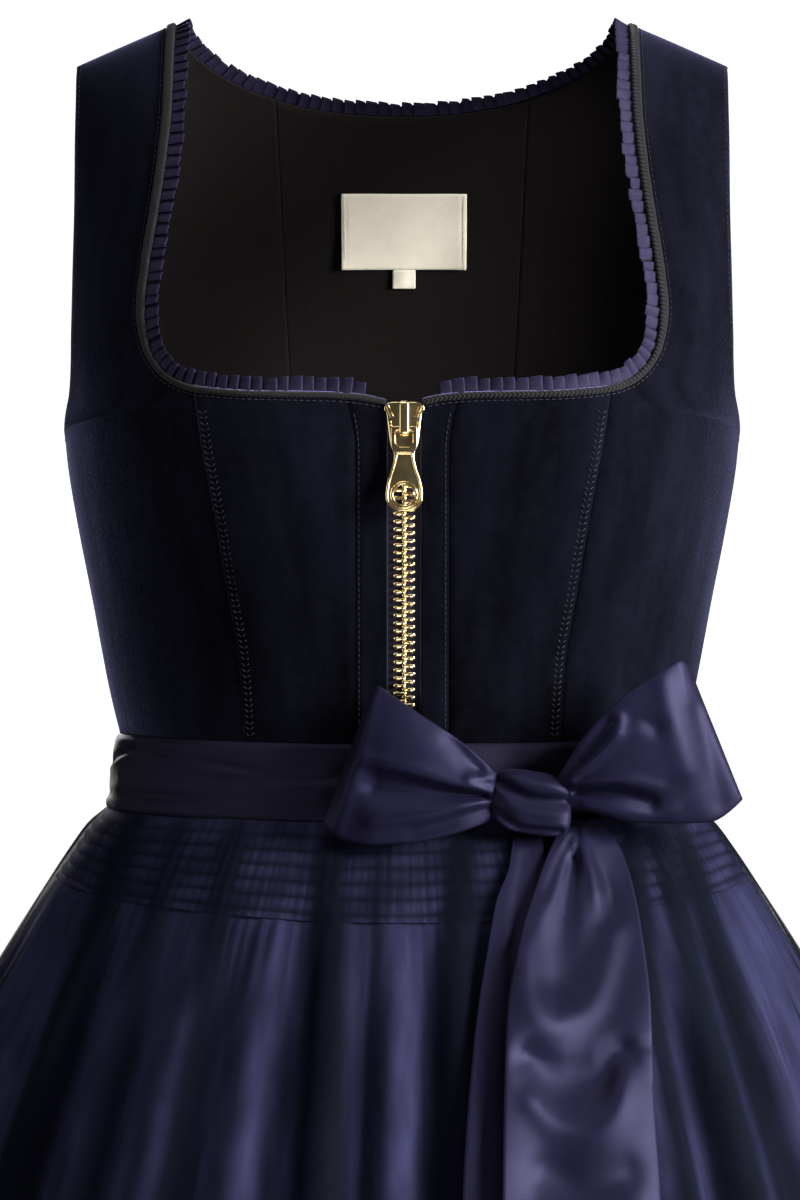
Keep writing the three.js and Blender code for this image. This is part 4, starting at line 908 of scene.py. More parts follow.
# %% The neck line
def neck_line():
    """Points and normals of the right half of the neck edge, from the zip to the back's middle."""
    x = np.linspace(9.2, 97, 80)
    h = neck_bottom(x)
    runs = [(h, angle_of(x, h))]
    fx, fh, _ = side_lines(NECK_FRONT, FRONT_ROWS, FRONT_SEAM, 10)
    n = (len(NECK_FRONT) - 1) * 10
    fx, fh = fx[n::-1], fh[n::-1]
    runs.append((fh, angle_of(fx, fh)))
    bx, bh, _ = side_lines(NECK_BACK, BACK_ROWS, BACK_SEAM, 10)
    n = (len(NECK_BACK) - 1) * 10
    bx, bh = bx[1:n + 1], bh[1:n + 1]
    runs.append((bh, np.pi - angle_of(bx, bh)))
    x = np.linspace(61.5, 0, 40)
    h = back_neck(x)
    runs.append((h, np.pi - angle_of(x, h)))
    h, angle = (np.concatenate([run[k] for run in runs]) for k in (0, 1))
    return torso(h, angle), torso_normal(h, angle)


def spaced(points, normals, step):
    """The same line with even steps by arc length, smoothed by a short moving mean."""
    length = run_length(points)
    at = np.linspace(0, length[-1], int(length[-1] / step) + 1)
    both = [np.stack([np.interp(at, length, v[:, k]) for k in range(3)], -1) for v in (points, normals)]
    kernel = np.ones(9) / 9
    for k, v in enumerate(both):
        padded = np.vstack([v[:1]] * 4 + [v] + [v[-1:]] * 4)
        smooth = np.stack([np.convolve(padded[:, c], kernel, "valid") for c in range(3)], -1)
        smooth[0], smooth[-1] = v[0], v[-1]
        both[k] = smooth
    return both[0], unit(both[1]), at


right_points, right_normals = neck_line()
points = np.vstack([right_points, flip_x(right_points[-2::-1])])
normals = np.vstack([right_normals, flip_x(right_normals[-2::-1])])
points[-1, 0] += 1.8
NECK_P, NECK_N, NECK_S = spaced(points, normals, 0.9)
NECK_T = unit(np.gradient(NECK_P, axis=0))
NECK_I = unit(np.cross(NECK_T, NECK_N))
print("neck line", round(float(NECK_S[-1])), "mm")


def neck_at(s):
    """Point, normal and inward direction at a distance along the neck line."""
    return [np.stack([np.interp(s, NECK_S, v[:, k]) for k in range(3)], -1) for v in (NECK_P, NECK_N, NECK_I)]

# %% [markdown]
# The binding is a woven braid a few millimetres wide, flat in front and a little wider on the straps. A
# bevelled curve would give it one width and a round section, so it is a grid with a low crown instead,
# and its herringbone comes from the finish.

# %% Binding
STRAP_BRAID, FRONT_BRAID = 4.5, 2.8
front_part = step01((-NECK_P[:, 2] - 140) / 35) * (NECK_P[:, 1] < 0)
binding_width = mix(STRAP_BRAID, FRONT_BRAID, front_part)[:, None]
across = np.linspace(0, 1, 9)[None, :]
crown = 0.75 * np.sqrt(np.clip(1 - (2 * across - 1) ** 4, 0, 1)) + 0.12 * np.sin(NECK_S[:, None] / 2.3)
binding = (NECK_P[:, None] + NECK_I[:, None] * (binding_width * across)[..., None]
           + NECK_N[:, None] * (0.25 + crown)[..., None])
piece = shell("neck_binding_braid", binding, 0.5, BRAID, normals=np.repeat(NECK_N[:, None], 9, 1))
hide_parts("neck_binding")
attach(piece, "garment")
print("binding, m2:", round(cloth_area(binding), 5))

# %% [markdown]
# A knife pleat is the strip going forward, folding under and coming out again. In the strip's own
# section that is a short polyline: forward and up, round the fold, and back beneath. An array modifier
# would repeat it exactly. Here each pleat has its own small differences, as hand-pressed pleats do.

# %% Ruche
PLEAT = np.array([  # share of the pitch, height over the seam in millimetres
    (0.02, 0.00), (0.20, 0.34), (0.45, 0.72), (0.70, 1.02), (0.90, 1.18), (0.985, 1.16), (1.01, 1.00),
    (0.985, 0.84), (0.93, 0.62), (0.91, 0.36), (0.95, 0.12)])
FROM_MIDDLE, PLEAT_PITCH, RUCHE_OUT = 17, 5.9, 7.2
first = NECK_S[np.argmax(np.abs(NECK_P[:, 0]) > FROM_MIDDLE)]
last = NECK_S[len(NECK_S) - 1 - np.argmax(np.abs(NECK_P[::-1, 0]) > FROM_MIDDLE)]
pleats = int(round((last - first) / PLEAT_PITCH))
rng = np.random.default_rng(7)
pitch = (last - first) / pleats
k = np.repeat(np.arange(pleats), len(PLEAT))
share = np.tile(PLEAT[:, 0], pleats) + rng.normal(0, 0.08, pleats)[k] * (np.tile(PLEAT[:, 0], pleats) > 0.3)
s = first + (k + share) * pitch
rise = np.tile(PLEAT[:, 1], pleats) * (1.1 + rng.normal(0, 0.18, pleats)[k])
lean = rng.normal(0, 0.25, pleats)[k]
p, n, inward = neck_at(s)
tangent = np.stack([np.interp(s, NECK_S, NECK_T[:, c]) for c in range(3)], -1)
out = np.linspace(-0.6, RUCHE_OUT, 8)[:, None]
fan = np.clip(out, 0, None) / RUCHE_OUT
tip = rng.normal(0, 0.45, pleats)[k][None, :] - 0.9 * (np.tile(PLEAT[:, 0], pleats) < 0.1)[None, :]
grid = (p[None] - inward[None] * (out + fan * tip)[..., None]
        + n[None] * (-1.35 + rise[None] * (0.55 + 0.85 * fan))[..., None]
        + tangent[None] * (fan * lean[None])[..., None])
along_strip = unit(np.gradient(grid, axis=1))
ruche_normals = unit(np.cross(along_strip, -inward[None] + 0 * grid))
ruche_normals *= np.sign(np.sum(ruche_normals * n[None], -1, keepdims=True).mean())
# Painted shade: the valley mask darkens each pleat's run under its fold and its first point, where the pleat
# before lies over it.
under = np.tile(step01((np.arange(len(PLEAT)) - 5.2) / 2.4) + 0.9 * (PLEAT[:, 0] < 0.1), pleats)
piece = shell("neck_ruche_pleats", grid, 0.28, RUCHE_SATIN, normals=ruche_normals,
              masks={"valley": np.clip(under, 0, 1)[None, :] * np.ones((8, 1))})
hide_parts("neck_ruche")
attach(piece, "garment")
print(pleats, "pleats, pitch", round(float(pitch), 2), "mm")

# %% [markdown]
# ## Soft troughs and ridges
#
# Cloth that is tied or gathered folds in its own way, and those folds are listed one by one here: each row
# is a depth and a line drawn on the cloth, seen from the front, as points of x, z and half-width. A ridge
# is a trough with a negative depth. Sculpting would do the same by brush, but a table can be corrected
# one fold at a time. Uneven rows are what makes it look like cloth and not like a pattern.

# %% Soft troughs and ridges
def crease(grid, table):
    """Sum over the rows of depth * exp(-m^2), with m the smallest of distance / half-width over the row's
    line: a smooth curve through its points, cut in short runs, so a bent line has one even depth."""
    x, z = grid[..., 0], grid[..., 2]
    total = np.zeros(x.shape)
    for depth, *line in table:
        line = np.asarray(line, float)
        runs = (len(line) - 1) * 6 if len(line) > 2 else 1
        t = np.linspace(0, len(line) - 1, runs + 1)
        px, pz, pw = (along(np.arange(len(line)), line[:, k], t) for k in (0, 1, 2))
        nearest = np.full(x.shape, 1e9)
        for k in range(runs):
            ax, az = px[k + 1] - px[k], pz[k + 1] - pz[k]
            f = np.clip(((x - px[k]) * ax + (z - pz[k]) * az) / (ax * ax + az * az + 1e-9), 0, 1)
            d = np.hypot(x - px[k] - f * ax, z - pz[k] - f * az)
            nearest = np.minimum(nearest, d / mix(pw[k], pw[k + 1], f))
        total += depth * np.exp(-(nearest**2))
    return total


def ribbon(rows, count, across, bulge_power=1.0):
    """A surface from a table whose rows are lines across a ribbon, (top xyz, low xyz, bulge): each column
    of the table runs through a monotone cubic, and a point is top + (low - top) f, moved forward by
    bulge sin(pi f)."""
    rows = np.asarray(rows, float)
    t = np.linspace(0, len(rows) - 1, count)
    columns = [along(np.arange(len(rows)), rows[:, k], t)[:, None] for k in range(rows.shape[1])]
    f = np.linspace(0, 1, across)[None, :]
    out = columns[6] * np.sin(np.pi * f) ** bulge_power
    x, y, z = (mix(columns[k], columns[k + 3], f) for k in range(3))
    return np.stack([x, y - out, z], -1), t


trial = crease(np.zeros((1, 1, 3)), [(2.0, (-5, 0, 3), (5, 0, 3))])
print("a trough 2 mm deep measures", round(float(trial[0, 0]), 2), "mm on its line")

# %% [markdown]
# ## The skirt's form
#
# The skirt is gathered into the waist and opens as it drops, so its sections widen by a slope and by a
# flare that fades in. Thirty-six gathers run down it. The same wave serves the skirt, the satin and the
# net, so the layers lie in each other, as they do when they are sewn into one waist seam.

# %% The skirt's form
FOLDS, FOLD_DEPTH = 36, 0.15  # how many, and their half-height as a share of their width
SKIRT_HEM, SATIN_HEM, NET_HEM = 649.4, 609.5, 610  # drops below the waist
SKIRT_REACH = [  # start, slope, flare and fade of the front, the back and the side
    (97, 0.2, 85, 170), (87, 0.24, 95, 130), (130.5, 0.22, 88, 150)]


def skirt_section(drop):
    """Front, back and side at a drop below the waist: start + slope drop + flare (1 - exp(-drop / fade))."""
    return [start + slope * drop + flare * (1 - np.exp(-drop / fade))
            for start, slope, flare, fade in SKIRT_REACH]


def skirt_power(drop):
    return POWER - 0.25 * (1 - np.exp(-drop / 120))


def skirt_base(drop, angle):
    drop, angle = np.broadcast_arrays(np.asarray(drop, float), np.asarray(angle, float))
    x, y = on_section(*skirt_section(drop), angle, skirt_power(drop))
    return np.stack([x, y, WAIST - drop], -1)


hem = skirt_section(SKIRT_HEM)
print("skirt at the hem:", round(float(2 * hem[2])), "mm wide and", round(float(hem[0] + hem[1])), "mm deep")

# %% [markdown]
# The gathers are one wave round the waist, and small puckers under the seam are a finer one. A cloth
# simulation could find such folds, but these have to lie in the same places as the frame's own walls.

# %% The gathers
def fold_phase(angle):
    return FOLDS * angle + 0.9 * np.sin(3 * angle + 1) + 0.6 * np.sin(7 * angle)


def fold_height(drop, angle):
    """Gather wave: the fold's width times 0.15, opened from 35 to 125 mm, times a cosine whose crest is
    narrower than its valley and whose depth differs from fold to fold."""
    span = np.linalg.norm(skirt_base(drop, angle + 0.01) - skirt_base(drop, angle - 0.01), axis=-1) / 0.02
    turns = (fold_phase(angle + 0.01) - fold_phase(angle - 0.01)) / 0.02
    size = FOLD_DEPTH * 2 * np.pi * span / turns * step01((drop - 35) / 90)
    drift = 0.42 * np.sin(5 * angle + drop / 170) * step01((drop - 60) / 300)
    phase = fold_phase(angle) + drift
    uneven = 0.84 + 0.16 * np.sin(11 * angle + 2.1 + drop / 260) * step01((drop - 40) / 120)
    return size * uneven * (0.88 * np.cos(phase) + 0.12 * np.cos(2 * phase))


def small_gathers(drop, angle, turns, shift):
    """Little gathers under a seam: a wave of many turns whose height is uneven round the waist."""
    phase = turns * angle + 2.2 * np.sin(9 * angle + shift) + 1.4 * np.sin(23 * angle + 2 * shift)
    uneven = 0.55 + 0.45 * np.sin(13 * angle + 3 * shift)
    return (0.5 + 0.5 * np.cos(phase)) * uneven


def skirt_surface(drop, angle, out, extra=0.0):
    """Base section moved out level by the gather wave, then along the surface's normal by out + extra."""
    drop, angle = np.broadcast_arrays(np.asarray(drop, float), np.asarray(angle, float))
    turn = skirt_base(drop, angle + 0.002) - skirt_base(drop, angle - 0.002)
    level = unit(np.stack([-turn[..., 1], turn[..., 0], 0 * drop], -1))
    level *= np.sign(np.sum(level * skirt_base(drop, angle) * [1, 1, 0], -1, keepdims=True))
    grid = skirt_base(drop, angle) + level * fold_height(drop, angle)[..., None]
    normal = grid_normals(grid)
    return grid + normal * (np.asarray(out) + extra)[..., None], normal


def front_share(angle):
    return np.maximum(0, np.cos(angle)) ** 2


def sash_low(angle):
    return 11 + 3 * front_share(angle)


def smock_top(angle):
    return sash_low(angle) + GAP


def smock_low(angle):
    return smock_top(angle) + mix(33, 45, front_share(angle))


print("a gather near the hem stands", round(float(fold_height(600, 0.0)), 1), "mm out at the front")

# %% [markdown]
# ## Skirt
#
# Three gores, a front and two backs, meet at the side seams and the centre back. One closed tube would be
# easier, but then the seams, where two cloths meet, would be missing. The hem is turned up 40 mm, and its
# stitching shows as a slight pull in the cloth.

# %% Skirt
def gore(name, start, stop, nodes):
    """A gore between two angles: the gathered surface, with puckers at the waist and a pull at the hem."""
    folds = round(FOLDS * (stop - start) / (2 * np.pi))
    angle = np.linspace(start + 0.0008, stop - 0.0008, folds * 14 + 1)[None, :]
    runs = ((0.3, 130, 26), (140, 600, 26), (606, 612, 3), (620, SKIRT_HEM, 5))
    drop = np.concatenate([np.linspace(*run) for run in runs])[:, None]
    tiny = small_gathers(drop, angle, 150, 1.0) * 1.1 * np.exp(-drop / 70) * step01(drop / 12)
    pull = -0.5 * hump(drop, 609, 2.2) * (0.6 + 0.4 * np.sin(400 * angle))
    grid, normal = skirt_surface(drop + 0 * angle, angle + 0 * drop, 0.5 + 0 * drop, tiny - 0.5 + pull)
    piece = shell(name, grid, 0.9, SKIRT_CLOTH, normals=normal, gathered=True)
    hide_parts(*nodes)
    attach(piece, "garment")
    return cloth_area(grid)


gores = {}
for name, start, stop in (("skirt_front", -np.pi / 2, np.pi / 2), ("skirt_back_right", np.pi / 2, np.pi),
                          ("skirt_back_left", np.pi, 1.5 * np.pi)):
    gores[name] = gore(name + "_cloth", start, stop, [name])
print("skirt, m2:", {k: round(v, 3) for k, v in gores.items()})

# %% [markdown]
# ## Apron
#
# The apron's satin is smocked at the top: fine gathers held by rows of stitching, which puff between the
# rows. A bump map could draw them, but their puffs catch the light and break the outline, so they are in
# the surface: one wave across for the gathers, one down for the rows, multiplied.

# %% Smocked band
EDGE = np.radians(105)  # the apron's free edges, round from the front
columns = 400
angle = np.linspace(-EDGE, EDGE, columns)[None, :]
row = np.linspace(0, 1, 66)[:, None]
drop = mix(smock_top(angle), smock_low(angle), row)
grid = skirt_base(drop, angle)
normal = grid_normals(grid)
length = np.cumsum(np.linalg.norm(np.diff(grid[40], axis=0, prepend=grid[40][:1]), axis=-1))[None, :]
uneven = length + 1.6 * np.sin(length / 17) + 0.9 * np.sin(length / 5.3)
gather = np.abs(np.sin(np.pi * uneven / 4.1)) ** 0.55
ROWS = 6.5  # rows of stitching down the band
wavy = row + 0.010 * np.sin(length / 21) + 0.005 * np.sin(length / 6.1)
held = np.abs(np.sin(np.pi * ROWS * wavy)) ** 0.6
puff = held * (0.35 + 0.65 * gather) * (0.75 + 0.25 * np.sin(length / 8.3 + 9 * row))
open_up = step01(row / 0.2)
outer = mix(1.6, 2.1, open_up) + (1.45 * puff + 0.15 * gather) * mix(0.25, 1, open_up)
grid = grid + normal * outer[..., None]
# Painted shade: the valley mask darkens the satin where the puffs sink between the rows and the gathers.
piece = shell("apron_smocking_cloth", grid, 0.5, SATIN_APRON, normals=normal, gathered=True,
              masks={"valley": np.clip(1 - 1.15 * puff, 0, 1) * open_up})
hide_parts("apron_smocking")
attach(piece, "garment")
smock_area = cloth_area(grid)
print("smocked band, gathered", round(smock_area, 4), "m2")

# %% [markdown]
# Below the last row of stitching the satin is let go. Its small gathers open within a few centimetres and
# run out into the wide folds of the skirt. The fine wave fades by an exponential as the wide one opens,
# so no line shows where one ends.

# %% Satin below the band
APRON_COLUMNS = 21 * 18 + 1  # eighteen to each of the folds it covers
angle = np.linspace(-EDGE, EDGE, APRON_COLUMNS)[None, :]
share = np.concatenate([np.linspace(0, 0.17, 26), np.linspace(0.185, 1, 40)])[:, None]
drop = mix(smock_low(angle) + GAP, SATIN_HEM, share)
below = drop - smock_low(angle)
tiny = small_gathers(drop, angle, 170, 2.0) * 1.5 * np.exp(-below / 34) * step01(below / 5 + 0.35)
soft = 0.5 * np.sin(61 * angle + drop / 90 + 1.3 * np.sin(4 * angle)) * step01(below / 60)
grid, normal = skirt_surface(drop, angle + 0 * drop, 2.3 + 0 * drop, tiny * 0.9 + 0.35 * soft)
piece = shell("apron_satin_cloth", grid, 0.6, SATIN_APRON, normals=normal, gathered=True)
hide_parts("apron_satin")
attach(piece, "garment")
satin_area = cloth_area(grid)
print("satin below the band", round(satin_area, 3), "m2")

# %% [markdown]
# The net is the outer layer, gathered into the same seam with folds of its own. It is see-through, so what
# one notices is where it doubles: narrow dark folds that fan out from the waist. They are listed by where
# they start and where they end, and the same sum of bells moves the surface and fills the mask.

# %% Net
NET_FOLDS = [  # x at the waist, x lower down, half-width and depth of the doubled folds, in millimetres
    (-118, -171, 7, 1.0), (-96, -140, 5, 0.7), (-72, -101, 6, 0.8), (-31, -36, 6.5, 1.0), (-8, -14, 3, 0.4),
    (29, 21, 7.5, 0.9), (86, 98, 6, 0.9), (101, 124, 5, 0.9), (113, 150, 6, 1.0), (122, 172, 5, 0.8)]
angle = np.linspace(-EDGE, EDGE, APRON_COLUMNS)[None, :]
share = np.concatenate([np.linspace(0, 0.2, 38), np.linspace(0.215, 1, 38)])[:, None]
drop = mix(smock_top(angle), NET_HEM, share)
below = drop - smock_top(angle)
base = skirt_base(drop, angle)
gather = np.zeros(drop.shape)
for x0, x1, wide, depth in NET_FOLDS:
    middle = mix(x0, x1, np.clip(drop / 170, 0, 3.2))
    gather += depth * hump(base[..., 0], middle, wide * (0.7 + drop / 260)) * (np.cos(angle) > 0)
gather += 0.5 * step01((np.abs(angle) - 1.25) / 0.3) * small_gathers(drop, angle, 36, 4.0)
tiny = small_gathers(drop, angle, 190, 3.0)
near_top = np.exp(-below / 42)
gather = np.clip(gather * step01(below / 30 + 0.3) + 0.26 * tiny * near_top + 0.06 * near_top, 0, 1)
waves = 1.1 * tiny * near_top * step01(below / 6) + 1.7 * gather * step01(below / 25) * (1 - near_top)
outward = mix(2.6, 4.7, step01(below / 12))
grid, normal = skirt_surface(drop, angle + 0 * drop, outward, waves)
piece = shell("apron_net_cloth", grid, 0.3, NET, normals=normal, masks={"gather": gather}, gathered=True)
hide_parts("apron_net")
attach(piece, "garment")
print("net", round(cloth_area(grid), 3), "m2")

# %% [markdown]
# ## Sash
#
# The sash is a wide satin band folded lengthwise and pulled round the waist, so it has long, shallow
# folds that run along it and change as they go. It starts and ends behind the bow. Its surface is the
# straight run from the bodice's edge to the skirt's, and the folds are troughs drawn on that.

# %% Sash
SASH_FOLDS = [  # angle from and to in degrees, height share from and to, half-width share, depth in mm
    (-88, -58, 0.42, 0.10, 0.050, 0.9), (-62, -24, 0.08, 0.40, 0.045, 0.55),
    (-40, -8, 0.52, 0.40, 0.080, 0.5),
    (-96, -30, 0.80, 0.72, 0.060, 0.4), (30, 66, 0.30, 0.46, 0.060, 0.6), (44, 100, 0.72, 0.60, 0.070, 0.5),
    (80, 150, 0.28, 0.40, 0.060, 0.7), (110, 200, 0.66, 0.52, 0.070, 0.6), (160, 240, 0.34, 0.28, 0.055, 0.7),
    (205, 268, 0.60, 0.74, 0.065, 0.6), (238, 280, 0.20, 0.42, 0.050, 0.7)]
columns = 360
degrees = (24 + np.arange(columns) * 360 / columns)[None, :]
angle = np.radians(degrees)
v = ease(36, 0.5)[:, None]
turned = (degrees + 100) % 360 - 100
relief = np.zeros((36, columns))
for a0, a1, v0, v1, wide, depth in SASH_FOLDS:
    f = (turned - a0) / (a1 - a0)
    fade = step01(f / 0.2 + 0.1) * step01((1 - f) / 0.2 + 0.1)
    middle = mix(v0, v1, f)
    relief -= depth * fade * hump(v, middle, wide)
    relief += 0.5 * depth * fade * hump(v - middle, 1.7 * wide, wide)
roll = -1.1 * hump(v, 0, 0.035) - 1.1 * hump(1 - v, 0, 0.035)
top_h = -343 - 3 * front_share(angle)
upper = on_velvet(top_h, angle, 0.5 + 0 * angle)
three_lines = np.concatenate([skirt_base(sash_low(angle) + step, angle) for step in (-1, 0, 1)])
lower = three_lines[1:2] + grid_normals(three_lines, True)[1:2] * 1.1
upper[..., 2], lower[..., 2] = top_h, WAIST - sash_low(angle)
grid = upper + (lower - upper) * v[..., None]
normal = grid_normals(grid, True)
ripple = 0.25 * np.sin(v * 19 + 3 * np.sin(angle * 5))
grid = grid + normal * (1.9 + relief * 1.7 + roll + ripple * 0.6)[..., None]
piece = shell("sash_cloth", grid, 1.0, SATIN_SASH, around=True, normals=normal)
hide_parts("sash")
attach(piece, "garment")
print("sash, m2:", round(cloth_area(grid, True), 4))

# %% [markdown]
# ## Bow
#
# Each loop is one ribbon that leaves the knot, turns over at its tip and comes back behind itself. A
# simulation would have to tie it, and could never be asked for this very bow. The table gives lines
# across that ribbon instead, and troughs and ridges run from the pinch at the knot.

# %% Bow loops
LOOP_LEFT = [  # top x y z, low x y z, bulge
    (46.5, -113, -362, 46.5, -114, -378, 2), (28, -118, -345, 24, -123, -385.5, 5),
    (8.7, -119, -332, 5, -125, -389.5, 8), (-3, -118, -324, -12, -125, -390.8, 9),
    (-11, -115, -319, -28, -123, -388, 7), (-14, -111.5, -322, -36, -120, -381, 1),
    (-9, -108.5, -325, -30, -117.5, -383, -2), (8, -108, -334, 2, -117.5, -385, -2),
    (28, -107.5, -350, 26, -116, -381, 0), (46.5, -109, -362, 46.5, -112, -377, 0)]
LOOP_RIGHT = [
    (70.0, -112, -363, 70.0, -115, -373, 2), (84, -119, -341, 90, -117, -376.5, 5),
    (97, -120, -327, 104, -115, -380.5, 8), (114, -117, -315, 122, -110, -381.5, 10),
    (128, -111, -307, 142, -103, -381, 8), (133, -105, -313, 157, -96, -371, 2),
    (126, -100, -318, 146, -91, -374, -1), (112, -99, -326, 124, -94, -377, -1),
    (94, -101, -342, 100, -100, -375, 0), (70.2, -109, -364, 70.2, -110, -371, 0)]
LEFT_CREASES = [  # depth, then points of x, z, half-width
    (5.2, (-11, -364, 7.5), (4, -366, 6.5), (22, -368, 3.6), (38, -369, 1.6)),
    (-1.5, (-17, -352, 3.6), (-2, -355, 3.4), (18, -361, 3.0), (38, -366, 2.0)),
    (-1.4, (-14, -379, 4.0), (10, -377, 3.4), (36, -371, 2.0)),
    (2.6, (24, -343, 5.5), (30, -352, 4.5), (35, -357, 3.0)), (-1.7, (31, -361, 2.4), (41, -360, 2.2)),
    (-1.8, (-14, -326, 3.6), (-21, -350, 4.4), (-31, -384, 4.6)),
    (1.4, (6, -386, 4.0), (28, -378, 3.2), (41, -374, 2.0))]
RIGHT_CREASES = [
    (4.2, (80, -367, 1.8), (98, -368, 4.0), (114, -372, 4.6)),
    (-1.4, (78, -363, 2.0), (96, -361.5, 3.0), (116, -366, 4.0)),
    (-1.2, (84, -374, 2.4), (104, -377, 3.4), (124, -377, 4.0)),
    (-2.6, (77, -361, 2.0), (88, -350, 3.0), (97, -340, 3.6), (99, -334, 3.0)),
    (3.2, (82, -352, 2.6), (90, -343, 3.4), (95, -336, 3.0)),
    (1.8, (100, -335, 3.0), (108, -333, 4.0), (116, -337, 4.0)),
    (-1.5, (119, -316, 5.0), (124, -336, 6.0), (130, -356, 6.5)),
    (1.6, (136, -330, 5.0), (142, -350, 6.0), (147, -372, 6.0))]


def outward_on_row(grid, column):
    """Normals of a hanging ribbon, turned so that the one on row 10 at this column looks to the front."""
    normal = unit(np.cross(np.gradient(grid, axis=1), np.gradient(grid, axis=0)))
    return normal * -np.sign(normal[10, column, 1])


def loop(name, rows, creases, node_name, seed):
    """The ribbon from the table; only its front run, before the tip, takes the creases, and the back run a
    few waves."""
    grid, t = ribbon(np.array(rows) * [1, 1, 1, 1, 1, 1, 0.6], 130, 48, 0.8)
    front = 1 - step01((t - 4.2) / 0.8)[:, None]
    edge = 1 - np.abs(np.linspace(-1, 1, 48)[None, :]) ** 6
    grid[..., 1] += crease(grid, creases) * front * mix(0.45, 1, edge)
    back = step01((t - 5.5) / 1.0)[:, None]
    grid[..., 1] += 0.9 * np.sin(grid[..., 2] / 4.3
                                 + seed) * back * np.sin(np.pi * np.linspace(0, 1, 48))[None, :]
    normal = outward_on_row(grid, 24)
    piece = shell(name, grid + normal * 0.45, 0.9, SATIN, normals=normal)
    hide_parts(node_name)
    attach(piece, "garment")
    return cloth_area(grid)


left_area = loop("bow_loop_left_cloth", LOOP_LEFT, LEFT_CREASES, "bow_loop_left", 0.4)
right_area = loop("bow_loop_right_cloth", LOOP_RIGHT, RIGHT_CREASES, "bow_loop_right", 1.9)
print("loops, m2:", round(left_area, 4), round(right_area, 4))

# %% [markdown]
# The knot is the same satin wrapped tightly round the middle, so its creases run round it, a little
# aslant, and its ends tuck in above and below. A sphere can be pressed into a block by raising its sines
# and cosines to a power under one, and long shallow valleys then part the turns of cloth.

# %% Knot
KNOT_CREASES = [  # depth, then points of x, z, half-width
    (2.6, (41, -360, 2.0), (50, -366, 2.4), (62, -371, 2.6), (78, -371, 2.0)),
    (-0.9, (44, -368, 2.2), (56, -375, 2.6), (76, -377, 2.4)),
    (2.2, (43, -376, 2.4), (56, -384, 2.6), (72, -385, 2.0)),
    (-0.7, (50, -360, 2.4), (62, -364, 2.6), (76, -365, 2.2)),
    (1.4, (58, -357, 1.6), (66, -360, 1.8), (79, -360, 1.6))]
lat = np.pi * (np.linspace(0.004, 0.996, 70) - 0.5)[:, None]
lon = np.linspace(0, 2 * np.pi, 120, endpoint=False)[None, :]
soften = lambda value: np.sign(value) * np.abs(value) ** 0.62
KNOT_MIDDLE, KNOT_HALF = (59.5, -111.6, -372.0), (19.2, 9.7, 14.6)
valley = 1 - 0.05 * (0.5 + 0.5 * np.cos(3 * lon + 2 * lat)) - 0.012 * np.cos(5 * lon - 3 * lat)
reach = soften(np.cos(lat)) * valley
up = KNOT_HALF[2] * soften(np.sin(lat))
x = KNOT_MIDDLE[0] + KNOT_HALF[0] * reach * soften(np.cos(lon))
y = KNOT_MIDDLE[1] + KNOT_HALF[1] * reach * soften(np.sin(lon)) + 0.45 * np.minimum(0, up)
grid = np.stack(np.broadcast_arrays(x, y, KNOT_MIDDLE[2] + up), -1)
grid[..., 2] -= 0.14 * (grid[..., 0] - 59)
grid[..., 1] += crease(grid, KNOT_CREASES) * (grid[..., 1] < KNOT_MIDDLE[1])
n_lat, n_lon = grid.shape[:2]
quads = quads_of(n_lat, n_lon, True)
low_pole, top_pole = n_lat * n_lon, n_lat * n_lon + 1
points = np.vstack([grid.reshape(-1, 3), grid[:1].mean(1), grid[-1:].mean(1)])
k = np.arange(0, n_lon, 2)
k2, top_row = (k + 2) % n_lon, (n_lat - 1) * n_lon
caps = [np.stack([np.full(len(k), low_pole), k2, k + 1, k], -1),
        np.stack([np.full(len(k), top_pole), top_row + k, top_row + k + 1, top_row + k2], -1)]
uv = np.concatenate([arc_uv(grid).reshape(-1, 2), np.zeros((2, 2))])
knot = put_mesh("bow_knot_cloth", points, np.concatenate([quads, *caps]), [SATIN], uv)
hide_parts("bow_knot")
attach(knot, "garment")
print("knot", len(points), "points round and two poles")

# %% [markdown]
# The two ends of the sash hang over the apron. Satin that hangs from a pinch falls in a chain of soft
# bowls, a trough that ends in a round ridge, then the next one lower down.

